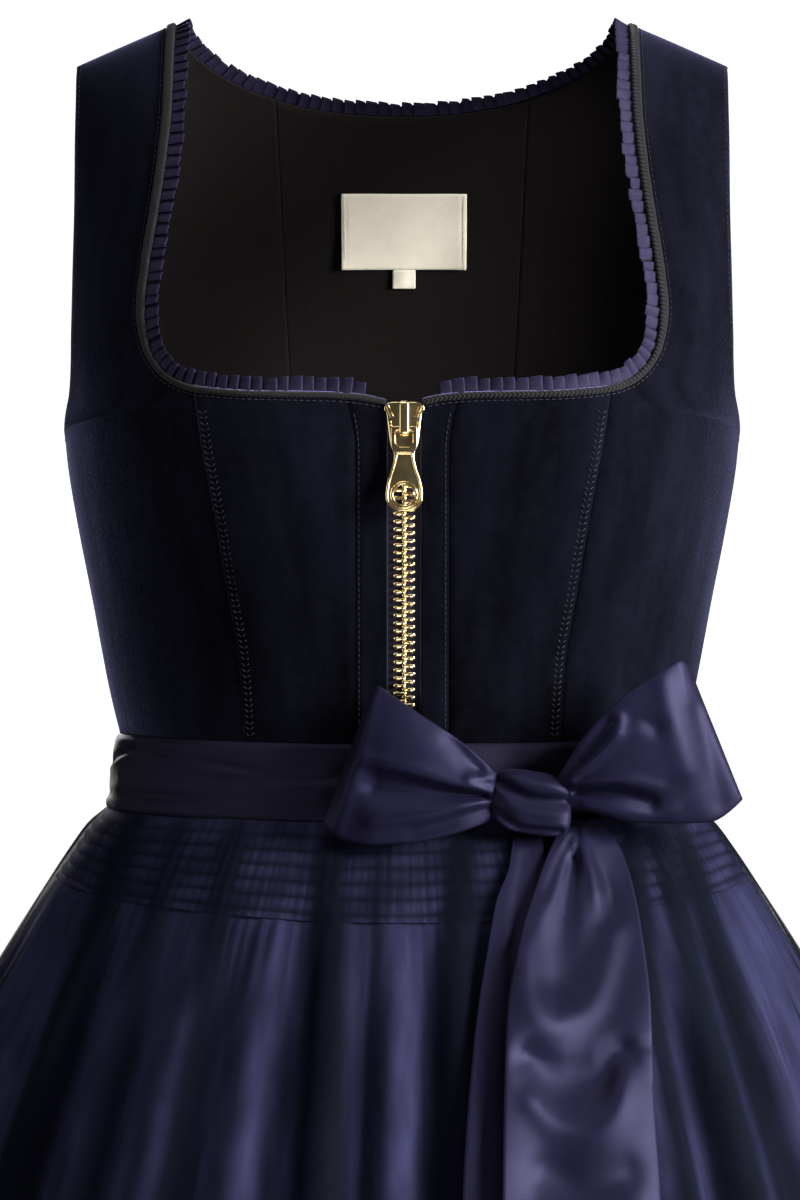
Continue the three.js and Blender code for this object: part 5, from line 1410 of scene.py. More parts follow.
# %% Tie ends
END_FRONT = np.array([  # drop, left, right, rise, wave
    (17, 72, 90, 5, 0), (27, 67, 100, 2, 2), (42, 61, 105.5, 0, 4), (62, 54, 109, 0, 5),
    (93, 47.5, 112, 0, 6),
    (134, 45.5, 112.6, 0, 5), (175, 44.5, 114.8, 0, 6), (280, 43, 117, 0, 6), (400, 44, 119, 0, 5),
    (560, 46, 122, 0, 3)])
END_BACK = np.array([
    (19.5, 51, 64, 0, 0), (33, 49, 66, 0, 0.2), (48, 43, 70, 0, 0.4), (60, 40.5, 76, 0, 0.6),
    (108, 32.5, 84, 0, 0.8), (175, 27, 90, 0, 0.9), (280, 24, 92, 0, 0.9), (400, 22, 93, 0, 0.9),
    (500, 20, 94, 0, 0.9)])
FRONT_BOWLS = [  # depth, then points of x, z, half-width
    (6.4, (78, -398, 3.0), (74, -420, 6.5), (70, -440, 10.0), (69, -449, 10.5)),
    (-2.9, (54, -436, 6.0), (58, -457, 7.0), (69, -469, 7.5), (83, -463, 7.5), (92, -445, 7.0),
     (97, -428, 6.0)),
    (5.6, (57, -484, 6.5), (72, -494, 9.5), (86, -493, 8.5), (98, -483, 6.0)),
    (-2.7, (58, -502, 5.5), (69, -513, 7.0), (84, -516, 7.5), (96, -504, 6.5), (98, -488, 5.0)),
    (4.4, (64, -534, 8.5), (82, -541, 10.0), (99, -535, 8.5)),
    (-2.6, (64, -556, 7.5), (82, -563, 8.5), (101, -555, 7.5)),
    (1.3, (100, -480, 1.8), (112, -479, 1.5)), (0.9, (104, -487, 2.0), (114, -498, 1.8)),
    (-1.8, (76, -386, 2.5), (85, -396, 3.0), (90, -412, 4.0)),
    (1.4, (84, -392, 1.8), (92, -406, 2.8), (98, -424, 4.0)),
    (1.5, (79, -386, 1.2), (72, -398, 2.4), (66, -412, 3.0)),
    (1.2, (81, -384, 1.2), (80, -396, 2.0), (79, -404, 2.4)),
    (-1.3, (83, -384, 1.5), (86, -400, 2.6), (89, -420, 4.0)),
    (3.4, (60, -588, 8.0), (80, -600, 10.0), (100, -592, 8.0)),
    (-2.4, (62, -612, 6.0), (82, -622, 8.0), (104, -612, 6.0)),
    (3.0, (66, -655, 10.0), (96, -668, 11.0)), (-2.0, (58, -690, 8.0), (92, -702, 9.0)),
    (2.8, (70, -742, 10.0), (104, -730, 12.0)), (-1.8, (60, -790, 9.0), (96, -800, 11.0)),
    (2.2, (74, -850, 11.0), (106, -862, 12.0))]
BACK_BOWLS = [
    (1.4, (57, -396, 2.5), (53, -418, 3.5), (49, -440, 4.0)),
    (-0.8, (48, -430, 3.0), (43, -465, 4.5), (40, -500, 5.0)),
    (1.0, (40, -520, 6.0), (60, -560, 8.0)), (1.0, (50, -640, 6.0), (34, -700, 8.0))]
print("bowls and ridges:", len(FRONT_BOWLS), "on the front end,", len(BACK_BOWLS), "on the back one")

# %% [markdown]
# An end hangs clear of the net's folds by a small lift, and its bowls may sink no further than that. The
# hyperbolic tangent holds them back softly, where a plain limit would leave flat patches.

# %% The hanging ends
def apron_front(x, drop):
    """How far forward the net's folds reach at x: the base section's depth, moved out by the layers and the
    fold's crest."""
    def base(across, down):
        front, _, side = skirt_section(down)
        w = np.clip(np.abs(across) / side, 0, 1)
        return -front * np.maximum(0, 1 - w ** skirt_power(down)) ** (1 / skirt_power(down))
    aside = (base(x + 1, drop) - base(x - 1, drop)) / 2
    flare = (base(x, drop + 1) - base(x, drop - 1)) / 2
    ridge = FOLD_DEPTH * 2 * np.pi * skirt_section(drop)[0] * step01((drop - 35) / 90) * 1.1 / FOLDS
    return base(x, drop) - (5.2 + ridge) * np.sqrt(1 + aside**2 + flare**2)


def tie_end(name, table, lift, turns, bowls, node_name, across=50, count=180):
    """A hanging end: level lines from the table, in front of the apron by lift and a soft wave, then the
    bowls, which go in by spare tanh(depth / spare) at most."""
    drop0 = np.linspace(table[0, 0], table[-1, 0], count)[:, None]
    left, right, rise, wave = (along(table[:, 0], table[:, k], drop0) for k in (1, 2, 3, 4))
    f = np.linspace(0, 1, across)[None, :]
    x = mix(left, right, f)
    drop = drop0 - rise * f
    soft = wave * (0.5 - 0.5 * np.cos(2 * np.pi * (f * turns + drop0 / 260)))
    grid = np.stack([x, apron_front(x, drop) - lift - soft, WAIST - drop], -1)
    down = crease(grid, bowls)
    spare = np.maximum(soft + lift - 2.2, 0.2)
    grid[..., 1] += np.where(down > 0, spare * np.tanh(down / spare), down)
    normal = outward_on_row(grid, across // 2)
    piece = shell(name, grid + normal * 0.4, 0.8, SATIN, normals=normal)
    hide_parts(node_name)
    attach(piece, "garment")
    return cloth_area(grid)


back_area = tie_end("tie_end_back_cloth", END_BACK, 2.6, 1.0, BACK_BOWLS, "tie_end_back")
front_area = tie_end("tie_end_front_cloth", END_FRONT, 7.4, 1.1, FRONT_BOWLS, "tie_end_front")
print("tie ends, m2:", round(back_area, 4), round(front_area, 4))

# %% [markdown]
# ## Zip
#
# A metal zip is two woven tapes with teeth clamped on their edges, a slider and a pull. The teeth mesh
# past the middle, in two rows half a pitch apart. The slider rests at the top of its run, with its pull
# hanging down over the chain. The tapes are cloth, with a bead along the edge that carries the teeth.

# %% Zip tapes
ZIP_X, TAPE_OUT = 0.9, -(VELVET_THICK + GAP)
for side, sign in (("right", 1), ("left", -1)):
    x = np.linspace(0.2, 15, 22)[None, :] + sign * ZIP_X
    h = np.linspace(-188.5, BODICE_LOW, 60)[:, None] + 0 * x
    bead = 0.45 * hump(x - sign * ZIP_X, 1.6, 0.9)
    grid = on_velvet(h, angle_of(x, h), TAPE_OUT + bead)
    normal = torso_normal(h, angle_of(x, h))
    grid, normal = sided(sign < 0, grid, normal)
    piece = shell(f"zip_tape_{side}_cloth", grid, 0.9, TAPE, normals=normal)
    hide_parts(f"zip_tape_{side}")
    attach(piece, "garment")
print("tapes, m2 each:", round(cloth_area(grid), 5))

# %% [markdown]
# Each tooth is a small block lofted through a few rounded rectangles, with a waist and a wider head. One
# tooth is worked out, and all of them are copies of it in one mesh, which is lighter than ninety objects.

# %% Zip teeth
TOOTH = np.array([  # across from the middle, half-height along the zip, low and high level over the tape
    (4.95, 0.45, 0.25, 0.80), (4.75, 0.92, -0.05, 1.20), (3.70, 1.05, -0.05, 1.42), (2.30, 1.00, 0.00, 1.45),
    (1.45, 0.72, 0.10, 1.25), (0.75, 0.88, 0.10, 1.45), (-0.10, 0.98, 0.15, 1.50), (-0.75, 0.86, 0.30, 1.30),
    (-1.00, 0.40, 0.45, 0.95)])
TOOTH_PITCH, ZIP_FOOT = 3.6, -366.5


def blocks(stations, sides=8, soft=0.55):
    """Lofted block: each station is a rounded rectangle, corner = sign(cos) |cos|^soft. Both ends are
    closed."""
    turn = np.linspace(0, 2 * np.pi, sides, endpoint=False) + np.pi / sides
    c, s = (np.sign(w) * np.abs(w) ** soft for w in (np.cos(turn), np.sin(turn)))
    a, half, low, high = (stations[:, k][:, None] for k in range(4))
    pts = np.stack(np.broadcast_arrays(a, half * c, (low + high) / 2 + (high - low) / 2 * s),
                   -1).reshape(-1, 3)
    quads = quads_of(len(stations), sides, True)
    end = (len(stations) - 1) * sides
    cap = np.array([(0, 1, 2, 3), (0, 3, 4, 7), (4, 5, 6, 7)])
    return pts, np.concatenate([quads, cap[:, ::-1], cap + end])


def copies(points, quads, frames):
    """The same block placed by many frames (origin, a, b, c), joined in one array:
    point = origin + a x + b y + c z."""
    origin, a, b, c = (np.asarray(v)[:, None, :] for v in frames)
    placed = origin + a * points[None, :, :1] + b * points[None, :, 1:2] + c * points[None, :, 2:]
    shifted = quads[None] + (np.arange(len(origin)) * len(points))[:, None, None]
    return placed.reshape(-1, 3), shifted.reshape(-1, 4)


tooth_points, tooth_quads = blocks(TOOTH)
frames = [[], [], [], []]
right_teeth, left_teeth = (np.arange(start, ZIP_FOOT, -TOOTH_PITCH) for start in (-209.0, -210.8))
for sign, h in ((1, right_teeth), (-1, left_teeth)):
    n = torso_normal(h, 0 * h)
    p = torso(h, 0 * h) + n * (TAPE_OUT + 0.1)
    p[:, 0] = ZIP_X
    across = np.tile([1.0 * sign, 0, 0], (len(h), 1))
    up = unit(np.cross(n, np.tile([1.0, 0, 0], (len(h), 1))))
    for store, value in zip(frames, (p, across, up, n)):
        store.append(value)
frames = [np.concatenate(v) for v in frames]
pts, quads = copies(tooth_points, tooth_quads, frames)
half = len(right_teeth) * len(tooth_quads)
quads[half:] = quads[half:, ::-1]
teeth = put_mesh("zip_teeth", pts, quads, [BRASS])
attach(teeth, "garment")
print(len(frames[0]), "teeth")

# %% [markdown]
# The slider and the pull are cast and polished. A flat outline with a hole is easiest as a filled curve
# with a bevel, which gives every edge its small round. Raised rims are closed tubes along a smaller
# outline. Each is turned into a mesh and then placed by the zip's own frame at the hinge.

# %% Cast plates
HINGE_HEIGHT = -200.9
HINGE = torso(HINGE_HEIGHT, 0.0)
ZIP_OUT = torso_normal(HINGE_HEIGHT, 0.0)
ZIP_UP = unit(np.cross(ZIP_OUT, [1.0, 0, 0]))
ZIP_ORIGIN = np.array([ZIP_X, HINGE[1], HINGE[2]])
ZIP_FRAME = np.stack([np.array([1.0, 0, 0]), ZIP_UP, np.cross([1.0, 0, 0], ZIP_UP)])


def zip_place(points):
    return ZIP_ORIGIN + np.asarray(points) @ ZIP_FRAME


def rounded_outline(rows, count=24):
    """Both sides of a table of (half-width, height), each run through a monotone cubic by arc length, as a
    closed line."""
    rows = np.asarray(rows, float)
    t = run_length(rows)
    at = np.linspace(0, t[-1], count * 3)
    right = np.stack([along(t, rows[:, 0], at), along(t, rows[:, 1], at)], -1)
    return np.concatenate([right, right[::-1] * [-1, 1]])


def circle(radius, middle, count=48):
    turn = np.linspace(0, 2 * np.pi, count, endpoint=False)
    return np.stack([radius * np.cos(turn), middle + radius * np.sin(turn)], -1)


def stamped(name, outlines, low, high, bevel):
    """A plate between two levels: a filled curve of outlines with its edges rounded by bevel, then placed."""
    curve = bpy.data.curves.new(name, "CURVE")
    curve.dimensions = "2D"
    curve.fill_mode = "BOTH"
    for line in outlines:
        spline = curve.splines.new("POLY")
        spline.points.add(len(line) - 1)
        level, weight = np.zeros((len(line), 1)), np.ones((len(line), 1))
        spline.points.foreach_set("co", np.hstack([line, level, weight]).astype(np.float32).ravel())
        spline.use_cyclic_u = True
    curve.extrude = (high - low) / 2 - bevel
    curve.bevel_depth = bevel
    curve.bevel_resolution = 3
    curve.offset = -bevel
    holder = bpy.data.objects.new(name, curve)
    bpy.context.collection.objects.link(holder)
    depsgraph = bpy.context.evaluated_depsgraph_get()
    mesh = bpy.data.meshes.new_from_object(holder.evaluated_get(depsgraph))
    bpy.data.objects.remove(holder)
    return settle(name, mesh, (low + high) / 2)


def settle(name, mesh, level=0.0):
    """Merges doubles, turns faces out, and moves the vertices from the zip's frame in millimetres to the
    garment's in metres."""
    work = bmesh.new()
    work.from_mesh(mesh)
    bmesh.ops.remove_doubles(work, verts=work.verts, dist=0.002)
    bmesh.ops.recalc_face_normals(work, faces=work.faces)
    work.to_mesh(mesh)
    work.free()
    co = np.empty(len(mesh.vertices) * 3, np.float32)
    mesh.vertices.foreach_get("co", co)
    co = co.reshape(-1, 3).astype(float)
    co[:, 2] += level
    mesh.vertices.foreach_set("co", (zip_place(co) * MM).astype(np.float32).ravel())
    mesh.materials.clear()
    mesh.materials.append(BRASS)
    mesh.polygons.foreach_set("use_smooth", np.ones(len(mesh.polygons), bool))
    mesh.update()
    mesh.set_sharp_from_angle(angle=np.radians(50))
    piece = bpy.data.objects.new(name, mesh)
    bpy.context.collection.objects.link(piece)
    return piece


print("the pull's hinge, mm:", np.round(ZIP_ORIGIN, 1).tolist())

# %% [markdown]
# Walls, rims and the bridge are bars: one rounded section carried along a path. A bevelled curve could make
# them too, but a section that keeps its wide side level needs its own two directions at every point.

# %% Cast bars
def swept(path, wide_dir, half_wide, half_thick, sides=12, closed=False, soft=0.7):
    """A bar of superellipse section along a path: point = path + wide c half_wide + thick s half_thick. Its
    ends are closed, unless the path is a ring."""
    path = np.asarray(path, float)
    tangent = unit(np.roll(path, -1, 0) - np.roll(path, 1, 0)) if closed else unit(np.gradient(path, axis=0))
    wide = np.broadcast_to(np.asarray(wide_dir, float), path.shape)
    wide = unit(wide - tangent * np.sum(wide * tangent, -1, keepdims=True))
    thick = np.cross(tangent, wide)
    turn = np.linspace(0, 2 * np.pi, sides, endpoint=False)
    c, s = (np.sign(w) * np.abs(w) ** soft for w in (np.cos(turn), np.sin(turn)))
    c, s = c[None, :, None], s[None, :, None]
    grid = path[:, None] + wide[:, None] * half_wide * c + thick[:, None] * half_thick * s
    quads = quads_of(len(grid), sides, True)
    end = (len(grid) - 1) * sides
    if closed:
        first = np.arange(sides)
        last = end + first
        join = np.stack([last, np.roll(last, -1), np.roll(first, -1), first], -1)
        return grid.reshape(-1, 3), np.concatenate([quads, join])
    k = np.arange(1, sides // 2)
    fan = np.stack([k - 1, k, sides - 1 - k, (sides - k) % sides], -1)
    return grid.reshape(-1, 3), np.concatenate([quads, fan[:, ::-1], fan + end])


def cast(name, parts):
    """One mesh of several closed bars given in the zip's frame, placed like the plates."""
    pts, quads, base = [], [], 0
    for p, q in parts:
        pts.append(p)
        quads.append(q + base)
        base += len(p)
    pts, quads = np.concatenate(pts), np.concatenate(quads)
    mesh = bpy.data.meshes.new(name)
    mesh.from_pydata(pts.tolist(), [], quads.tolist())
    return settle(name, mesh)


print("a short bar has", len(swept(np.eye(3), (0, 0, 1), 1, 1)[1]), "faces")

# %% [markdown]
# The slider has a flared top plate, a smaller plate under the chain, and a bridge over it that holds the
# pull. Walls run along its sides, with the crests where the two rows of teeth go in. It could be carved
# from one block by booleans, but separate rounded parts keep every edge soft.

# %% Slider
SLIDER_OUTLINE = [(4.9, 12.6), (5.8, 12.5), (8.6, 11.2), (9.2, 10.2), (9.1, 8.8), (8.2, 7.4), (7.9, 6.0),
                  (7.5, 2), (6.9, -3), (6.3, -7), (5.4, -9.6), (3.6, -10.7), (0.0, -10.9)]
slider = stamped("zip_slider_body", [rounded_outline(SLIDER_OUTLINE)], 0.3, 1.9, 0.45)
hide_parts("zip_slider")
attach(slider, "garment")
smaller = [(0.72 * a, 0.72 * b) for a, b in SLIDER_OUTLINE]
back_plate = stamped("zip_slider_under", [rounded_outline(smaller)], -1.5, 0.5, 0.2)
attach(back_plate, "garment")
walls = []
for sign in (1, -1):
    t = np.linspace(0, 1, 24)
    path = np.stack([sign * mix(6.6, 5.0, t), mix(3.5, -9.2, t), 1.95 + 0 * t], -1)
    walls.append(swept(path, (1, 0, 0), 0.75, 0.45))
    crest = np.stack([sign * along([0, 0.5, 1], [5.6, 6.6, 7.6], t), mix(5.4, 10.8, t), 1.9 + 0 * t], -1)
    walls.append(swept(crest, (1, 0, 0), 0.8, 0.35))
bridge_side = np.array([(12.2, 1.2), (12.3, 3.6), (11.9, 4.7), (10.8, 5.2), (7, 5.25), (2, 5.25),
                        (-1.8, 5.2), (-2.7, 4.7), (-2.9, 3.4), (-2.9, 1.6)])
t = run_length(bridge_side)
at = np.linspace(0, t[-1], 60)
bridge = np.stack([0 * at, along(t, bridge_side[:, 0], at), along(t, bridge_side[:, 1], at)], -1)
walls.append(swept(bridge, (1, 0, 0), 2.1, 0.58, sides=16))
trim = cast("zip_slider_bridge", walls)
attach(trim, "garment")
print("slider: two plates and", len(walls), "bars")

# %% [markdown]
# The pull turns about the bridge, so it is its own body. It has a square window round the bridge, a plain
# plate with a raised rim, and an eyelet through which the chain can be seen. The holes are further
# outlines in the same filled curve, which cuts them cleanly and bevels their edges too.

# %% Pull
PULL_OUTLINE = [(0.0, 1.0), (5.3, 0.9), (5.9, 0.3), (6.0, -2), (6.0, -7.6), (5.5, -9.6), (4.75, -11.4),
                (4.7, -14), (5.5, -17.6), (6.6, -21.2), (7.7, -24.6), (8.3, -28), (8.5, -31), (8.2, -33.6),
                (7.2, -35.7), (5.2, -37.4), (2.6, -38.3), (0.0, -38.5)]
WINDOW = [(0.0, -0.9), (3.4, -0.95), (4.0, -1.6), (4.0, -6.4), (3.2, -8.0), (2.0, -8.6), (0.0, -8.6)]
EYE = -30.9  # the eyelet's middle
window = rounded_outline(WINDOW)
outline = rounded_outline(PULL_OUTLINE)
pull = stamped("zip_pull_plate", [outline, window, circle(4.75, EYE)], 2.5, 3.8, 0.3)
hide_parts("zip_pull")
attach(pull, "pull")
rows = np.array(PULL_OUTLINE)
low_rows = rows[rows[:, 1] < -11]
low_rows[:, 0] = np.maximum(low_rows[:, 0] - 0.75, 0)
low_rows[:, 1] = np.where(low_rows[:, 1] < -34, low_rows[:, 1] + 0.75, low_rows[:, 1])
low_rows = np.vstack([[(0.0, -11.6), (3.4, -11.7)], low_rows[1:]])
rim = rounded_outline(low_rows, 28)
rim_path = np.column_stack([rim, np.full(len(rim), 3.8)])
keep = np.concatenate([[True], np.linalg.norm(np.diff(rim_path, axis=0), axis=1) > 0.05])
eye = np.column_stack([circle(5.6, EYE, 60), np.full(60, 3.85)])
rims = cast("zip_pull_rims", [swept(rim_path[keep][:-1], (0, 0, 1), 0.5, 0.6, closed=True),
                              swept(eye, (0, 0, 1), 0.5, 0.75, closed=True)])
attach(rims, "pull")
across, down = (round(float(np.ptp(outline[:, k])), 1) for k in (0, 1))
print("pull", down, "mm long and", across, "mm wide")

# %% [markdown]
# ## Label
#
# A cream woven label is sewn inside the back of the neck by its two short sides, with a small tab under
# it. Both are plain cloth. A flat card would float on the round back, so the label takes the lining's own
# curve, bows a little off it, and its corners lift.

# %% Label
LABEL_TOP, LABEL_LOW, LABEL_LIFT, LABEL_SEAM = -77, -114, 4.45, 0.955


def label_bow(u, v, curl):
    """How far a label stands off its seat: two slow waves, and its corners lifted by curl |u|^5."""
    corners = (np.abs(u) ** 5) * (v**3 + 0.55 * (1 - v) ** 3)
    return 0.35 * np.cos(2.1 * u + 0.4) + 0.25 * np.sin(5 * v + 2 * u) + curl * corners


def label_patch(name, wide, top, bottom, node_name, curl, columns=44, rows=28):
    """A patch on the lining's inside, with a shallow groove along both sewn sides. Returns its area."""
    x = np.linspace(1 - wide / 2, 1 + wide / 2, columns)[None, :]
    h = np.linspace(top, bottom, rows)[:, None] + 0 * x
    u, v = (x - 1) / (wide / 2) + 0 * h, (h - top) / (bottom - top)
    turn = np.pi - angle_of(x, h)
    edge = -0.25 * hump(np.abs(u), LABEL_SEAM, 0.02)
    normal = torso_normal(h, turn)
    grid = torso(h, turn) - normal * (LABEL_LIFT + label_bow(u, v, curl) + edge)[..., None]
    piece = shell(name, grid, 0.4, LABEL, normals=-normal)
    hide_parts(node_name)
    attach(piece, "garment")
    return cloth_area(grid)


label_area = label_patch("label_cloth", 62, LABEL_TOP, LABEL_LOW, "label", 1.5)
tab_area = label_patch("size_tab_cloth", 11, -114.4, -123.4, "size_tab", 0.3, 16, 14)
print("label and tab, m2:", round(label_area, 5), round(tab_area, 6))

# %% [markdown]
# ## Sewing
#
# A stitch is a short arch of thread: it comes up, lies on the cloth and goes down. All the stitches of
# one kind are one mesh, made from two arrays of end points and their normals. The front seams carry a
# herringbone of slanting stitches, and plain topstitching runs along the neck, the armholes, the plackets
# and the label. A bump on the cloth would be cheaper, but thread that stands up catches the key light.

# %% Stitches
def stitches(name, start, stop, normal, radius, arch, material, sides=4, rings=6):
    """Arched threads: centre = start + (stop - start) u + normal arch sin(pi u), section a circle of radius
    r(u) that narrows at both ends."""
    u = np.linspace(0, 1, rings)
    arched = (arch * np.sin(np.pi * u) - 0.1)[None, :, None]
    centre = start[:, None] + (stop - start)[:, None] * u[None, :, None] + normal[:, None] * arched
    tangent = unit(np.gradient(centre, axis=1))
    side = unit(np.cross(tangent, normal[:, None] + 0 * tangent))
    other = np.cross(side, tangent)
    turn = np.linspace(0, 2 * np.pi, sides, endpoint=False)
    r = radius * (0.45 + 0.55 * np.sin(np.pi * u) ** 0.5)[None, :, None, None]
    c, s = (wave[None, None, :, None] for wave in (np.cos(turn), np.sin(turn)))
    pts = centre[:, :, None] + r * (side[:, :, None] * c + other[:, :, None] * s)
    one = quads_of(rings, sides, True)
    end = (rings - 1) * sides
    one = np.concatenate([one, [(3, 2, 1, 0), (end, end + 1, end + 2, end + 3)]])
    count = rings * sides
    quads = (one[None] + (np.arange(len(start)) * count)[:, None, None]).reshape(-1, 4)
    piece = put_mesh(name, pts.reshape(-1, 3), quads, [material])
    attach(piece, "garment")


print("a stitch is four-sided thread with six rings, drawn out between two points")

# %% [markdown]
# The herringbone lies beside the two front seams. Its threads are placed by pairs of end points, with a
# small jitter, because a machine's seam on soft velvet is never perfectly even.

# %% Seam stitches
def seam_stitch(name, sign):
    """Herringbone beside a front seam: pairs of slanting stitches, every 2.7 mm, leaning to each other."""
    h = np.arange(-192, -341, -2.7)
    starts, stops, norms = [], [], []
    seam = table_line(FRONT_SEAM, h)
    rng = np.random.default_rng(11)
    for a0, a1, b0, b1 in ((1.5, 3.3, 0.0, -1.25), (5.2, 3.9, -0.1, -1.35)):
        jitter = rng.normal(0, 0.12, len(h))
        for store, a, b in ((starts, a0, b0), (stops, a1, b1)):
            hh = h + b + jitter
            angle = angle_of(seam - a, hh)
            store.append(on_velvet(hh, angle, 0.12 + 0 * hh))
        norms.append(torso_normal(h, angle_of(seam - 3, h)))
    start, stop, normal = (np.concatenate(v) for v in (starts, stops, norms))
    start, stop, normal = sided(sign < 0, start, stop, normal)
    stitches(name, start, stop, normal, 0.24, 0.28, THREAD)
    return len(start)


for side, sign in (("right", 1), ("left", -1)):
    made = seam_stitch(f"seam_stitch_{side}", sign)
print("slanting stitches beside each seam:", made)

# %% [markdown]
# Topstitching runs along a line a few millimetres inside an edge: the neck, both armholes, the plackets
# and the short sides of the label. Each line is a row of points on the cloth, and one function sews it.

# %% Topstitching
def running(name, line, normal, pitch, share, radius, material, arch=0.16):
    """Topstitching along a line of points: a stitch covers share of each pitch."""
    length = run_length(line)
    at = np.arange(pitch / 2, length[-1] - pitch, pitch)
    pick = lambda v, s: np.stack([np.interp(s, length, v[:, k]) for k in range(3)], -1)
    start, stop, out = pick(line, at), pick(line, at + pitch * share), unit(pick(normal, at))
    stitches(name, start, stop, out, radius, arch, material)


beside_binding = NECK_P + NECK_I * (binding_width + 1.3) + NECK_N * 0.12
running("neck_topstitch", beside_binding, NECK_N, 3.0, 0.72, 0.18, THREAD)
for side, sign in (("right", 1), ("left", -1)):
    h = np.linspace(-4, -199, 220)
    runs = []
    for back in (False, True):
        angle = np.radians(table_line(ARMHOLE, h))
        width = section(h)[2]
        angle = angle - np.clip(3.6 / np.maximum(width * np.abs(np.cos(angle)) + 40, 60), 0, 0.06)
        low = step01((-h - 150) / 45) * 3.6
        hh = h - low
        turn = np.pi - angle if back else angle
        line, normal = on_velvet(hh, turn, 0.12 + 0 * hh), torso_normal(hh, turn)
        runs.append((line, normal) if not back else (line[::-1], normal[::-1]))
    for k, (line, normal) in enumerate(runs):
        line, normal = sided(sign < 0, line, normal)
        face = "back" if k else "front"
        running(f"armhole_topstitch_{side}_{face}", line, normal, 3.0, 0.72, 0.17, THREAD)
    h = np.linspace(-192, -342, 120)
    x = table_line(PLACKET_SEAM, h) - 1.6
    line, normal = on_velvet(h, angle_of(x, h), 0.12 + 0 * h), torso_normal(h, angle_of(x, h))
    line, normal = sided(sign < 0, line, normal)
    running(f"placket_topstitch_{side}", line, normal, 2.8, 0.72, 0.16, THREAD)
for u in (-LABEL_SEAM, LABEL_SEAM):
    h = np.linspace(-79, -112.5, 60)
    turn = np.pi - angle_of(np.full(60, 1 + 31 * u), h)
    normal = -torso_normal(h, turn)
    lift = LABEL_LIFT + label_bow(u, (h - LABEL_TOP) / (LABEL_LOW - LABEL_TOP), 1.2)
    line = torso(h, turn) + normal * (lift + 0.1)[:, None]
    side = "left" if u < 0 else "right"
    running(f"label_stitch_{side}", line, normal, 2.6, 0.7, 0.14, THREAD_CREAM)

# %% [markdown]
# The sizes were measured on the surfaces above, along the threads.

# %% [markdown]
# ## Floor and room
#
# The garment hangs as worn, its hem a little over a pale floor. The white room round it is seen by the
# camera alone: it neither lights the cloth nor shows in the satin. A white world would be simpler, but it
# would light the velvet from every side and wash its black out.

# %% Floor and room
HEM_FLOOR, ROOM_REACH = -1022.0, 18000


def stage_finish(name, colour, glow):
    """Matt paper with a glow of its own, glow near the garment and 1 from four metres out, so it ends in
    plain white."""
    material, tree, shader = finish(name, colour, 0.95, Specular_IOR_Level=0.1)
    toned(tree, shader, patches_of(tree, 3.0), tuple(0.985 * c for c in colour), colour)
    shader.inputs["Emission Color"].default_value = (1, 1, 1, 1)
    away = node(tree, "ShaderNodeVectorMath", operation="LENGTH")
    wire(tree, node(tree, "ShaderNodeTexCoord"), "Object", away, 0)
    rising = node(tree, "ShaderNodeMapRange")
    for socket, value in zip(("From Min", "From Max", "To Min", "To Max"), (1.2, 4.0, glow, 1.0)):
        rising.inputs[socket].default_value = value
    wire(tree, away, "Value", rising, "Value")
    wire(tree, rising, 0, shader, "Emission Strength")
    material.cycles.emission_sampling = "NONE"
    return material


def turned(name, reach, height, material):
    """A surface of revolution about the Z axis, from a reach and a height for each ring."""
    turn = np.linspace(0, 2 * np.pi, 64, endpoint=False)[None, :]
    grid = np.stack(np.broadcast_arrays(reach * np.cos(turn), reach * np.sin(turn), height), -1)
    return put_mesh(name, grid.reshape(-1, 3), quads_of(len(grid), 64, True), [material])


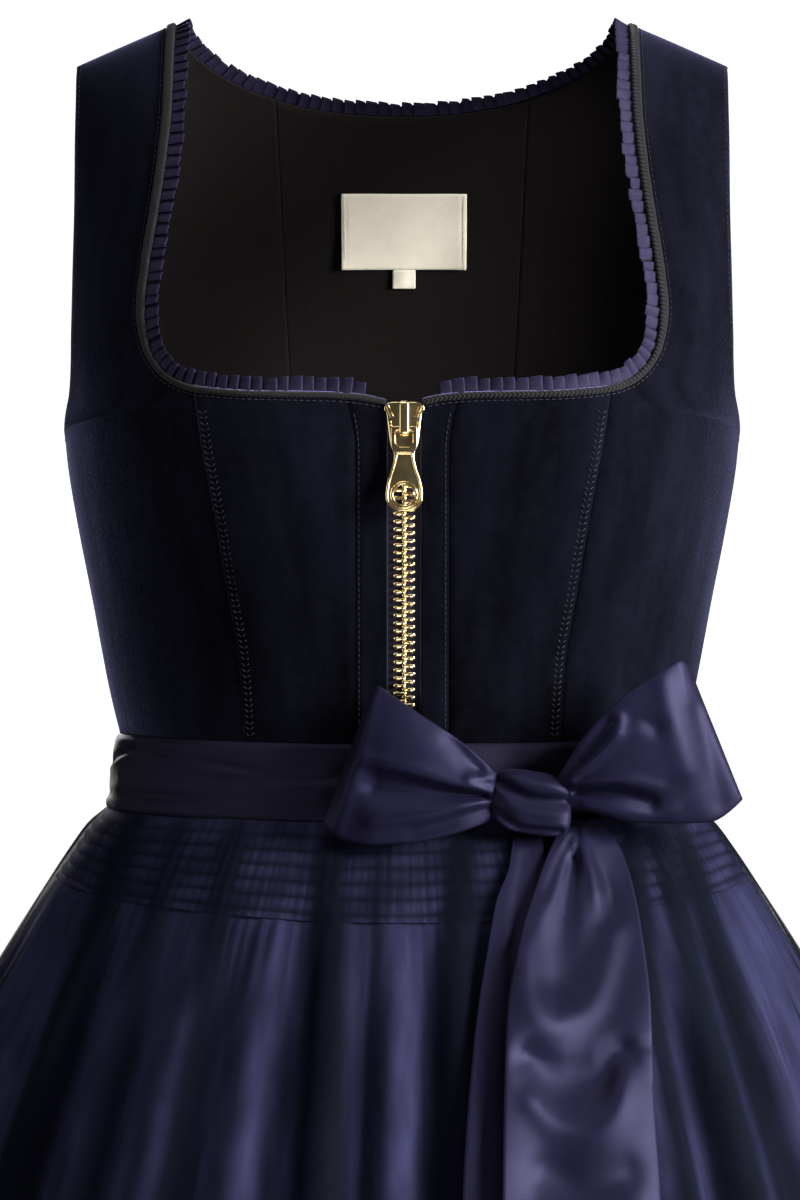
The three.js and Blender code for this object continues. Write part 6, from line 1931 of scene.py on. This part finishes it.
ring = np.linspace(1, ROOM_REACH - 10, 20)[:, None]
floor = turned("floor", ring, HEM_FLOOR, stage_finish("pale_floor", (0.30, 0.30, 0.30), 0.70))
rise = np.radians(np.linspace(-8, 89.9, 24))[:, None]
room = turned("white_room", ROOM_REACH * np.cos(rise), ROOM_REACH * np.sin(rise) + HEM_FLOOR,
              stage_finish("pale_wall", (0.90, 0.90, 0.90), 1.0))
for paper in (floor, room):
    paper.visible_diffuse = False
    paper.visible_glossy = False
    paper.visible_shadow = False
print("floor", round(HEM_FLOOR * MM, 3), "m under the shoulders, room", ROOM_REACH * MM, "m out")

# %% [markdown]
# ## Lights
#
# A large softbox stands far to the right, so the velvet's sheen comes up on that side only, with dimmer
# ones on the left, above and low in front, and one behind that lights the back. Small lamps would make
# hard white spots on the satin: the bigger the box, the softer its highlight.

# %% Lights
def softbox(name, place, aim, size, power):
    light = bpy.data.lights.new(name, "AREA")
    light.shape = "RECTANGLE"
    light.size, light.size_y = size
    light.energy = power
    made = bpy.data.objects.new(name, light)
    made.location = place
    made.rotation_euler = (Vector(aim) - Vector(place)).to_track_quat("-Z", "Y").to_euler()
    bpy.context.collection.objects.link(made)


softbox("key_right", (2.7, -1.25, 0.6), (0, 0, -0.35), (1.0, 1.8), 400)
softbox("fill_left", (-2.8, -1.2, 0.2), (0, 0, -0.4), (1.4, 1.8), 22)
softbox("top_front", (-0.4, -0.9, 2.2), (0, 0, -0.3), (1.6, 0.9), 22)
softbox("skirt_front", (0.5, -2.6, -1.6), (0, 0, -0.62), (1.4, 0.8), 34)
softbox("back_light", (-0.3, 3.2, 0.3), (0, 0, -0.4), (2.0, 1.6), 150)
world = bpy.data.worlds.new("studio")
world.use_nodes = True
world.node_tree.nodes["Background"].inputs["Color"].default_value = (0.95, 0.96, 1.0, 1)
world.node_tree.nodes["Background"].inputs["Strength"].default_value = 0.05
bpy.context.scene.world = world
bpy.context.scene.view_settings.view_transform = "Standard"
print(len(bpy.data.lights), "softboxes")

# %% [markdown]
# ## Camera
#
# A long lens from a few steps away keeps the dress's proportions, as a shop picture does. It looks level at
# the bodice, and the lower skirt stays out of the frame.

# %% Camera
camera_data = bpy.data.cameras.new("camera")
camera_data.lens = 162.5
camera = bpy.data.objects.new("camera", camera_data)
camera.location = (-0.001, -2.6, -0.279)
camera.rotation_euler = (np.pi / 2, 0, 0)
bpy.context.collection.objects.link(camera)
bpy.context.scene.camera = camera
print("camera", round(-camera.location.y, 2), "m away with a lens of", camera_data.lens, "mm")
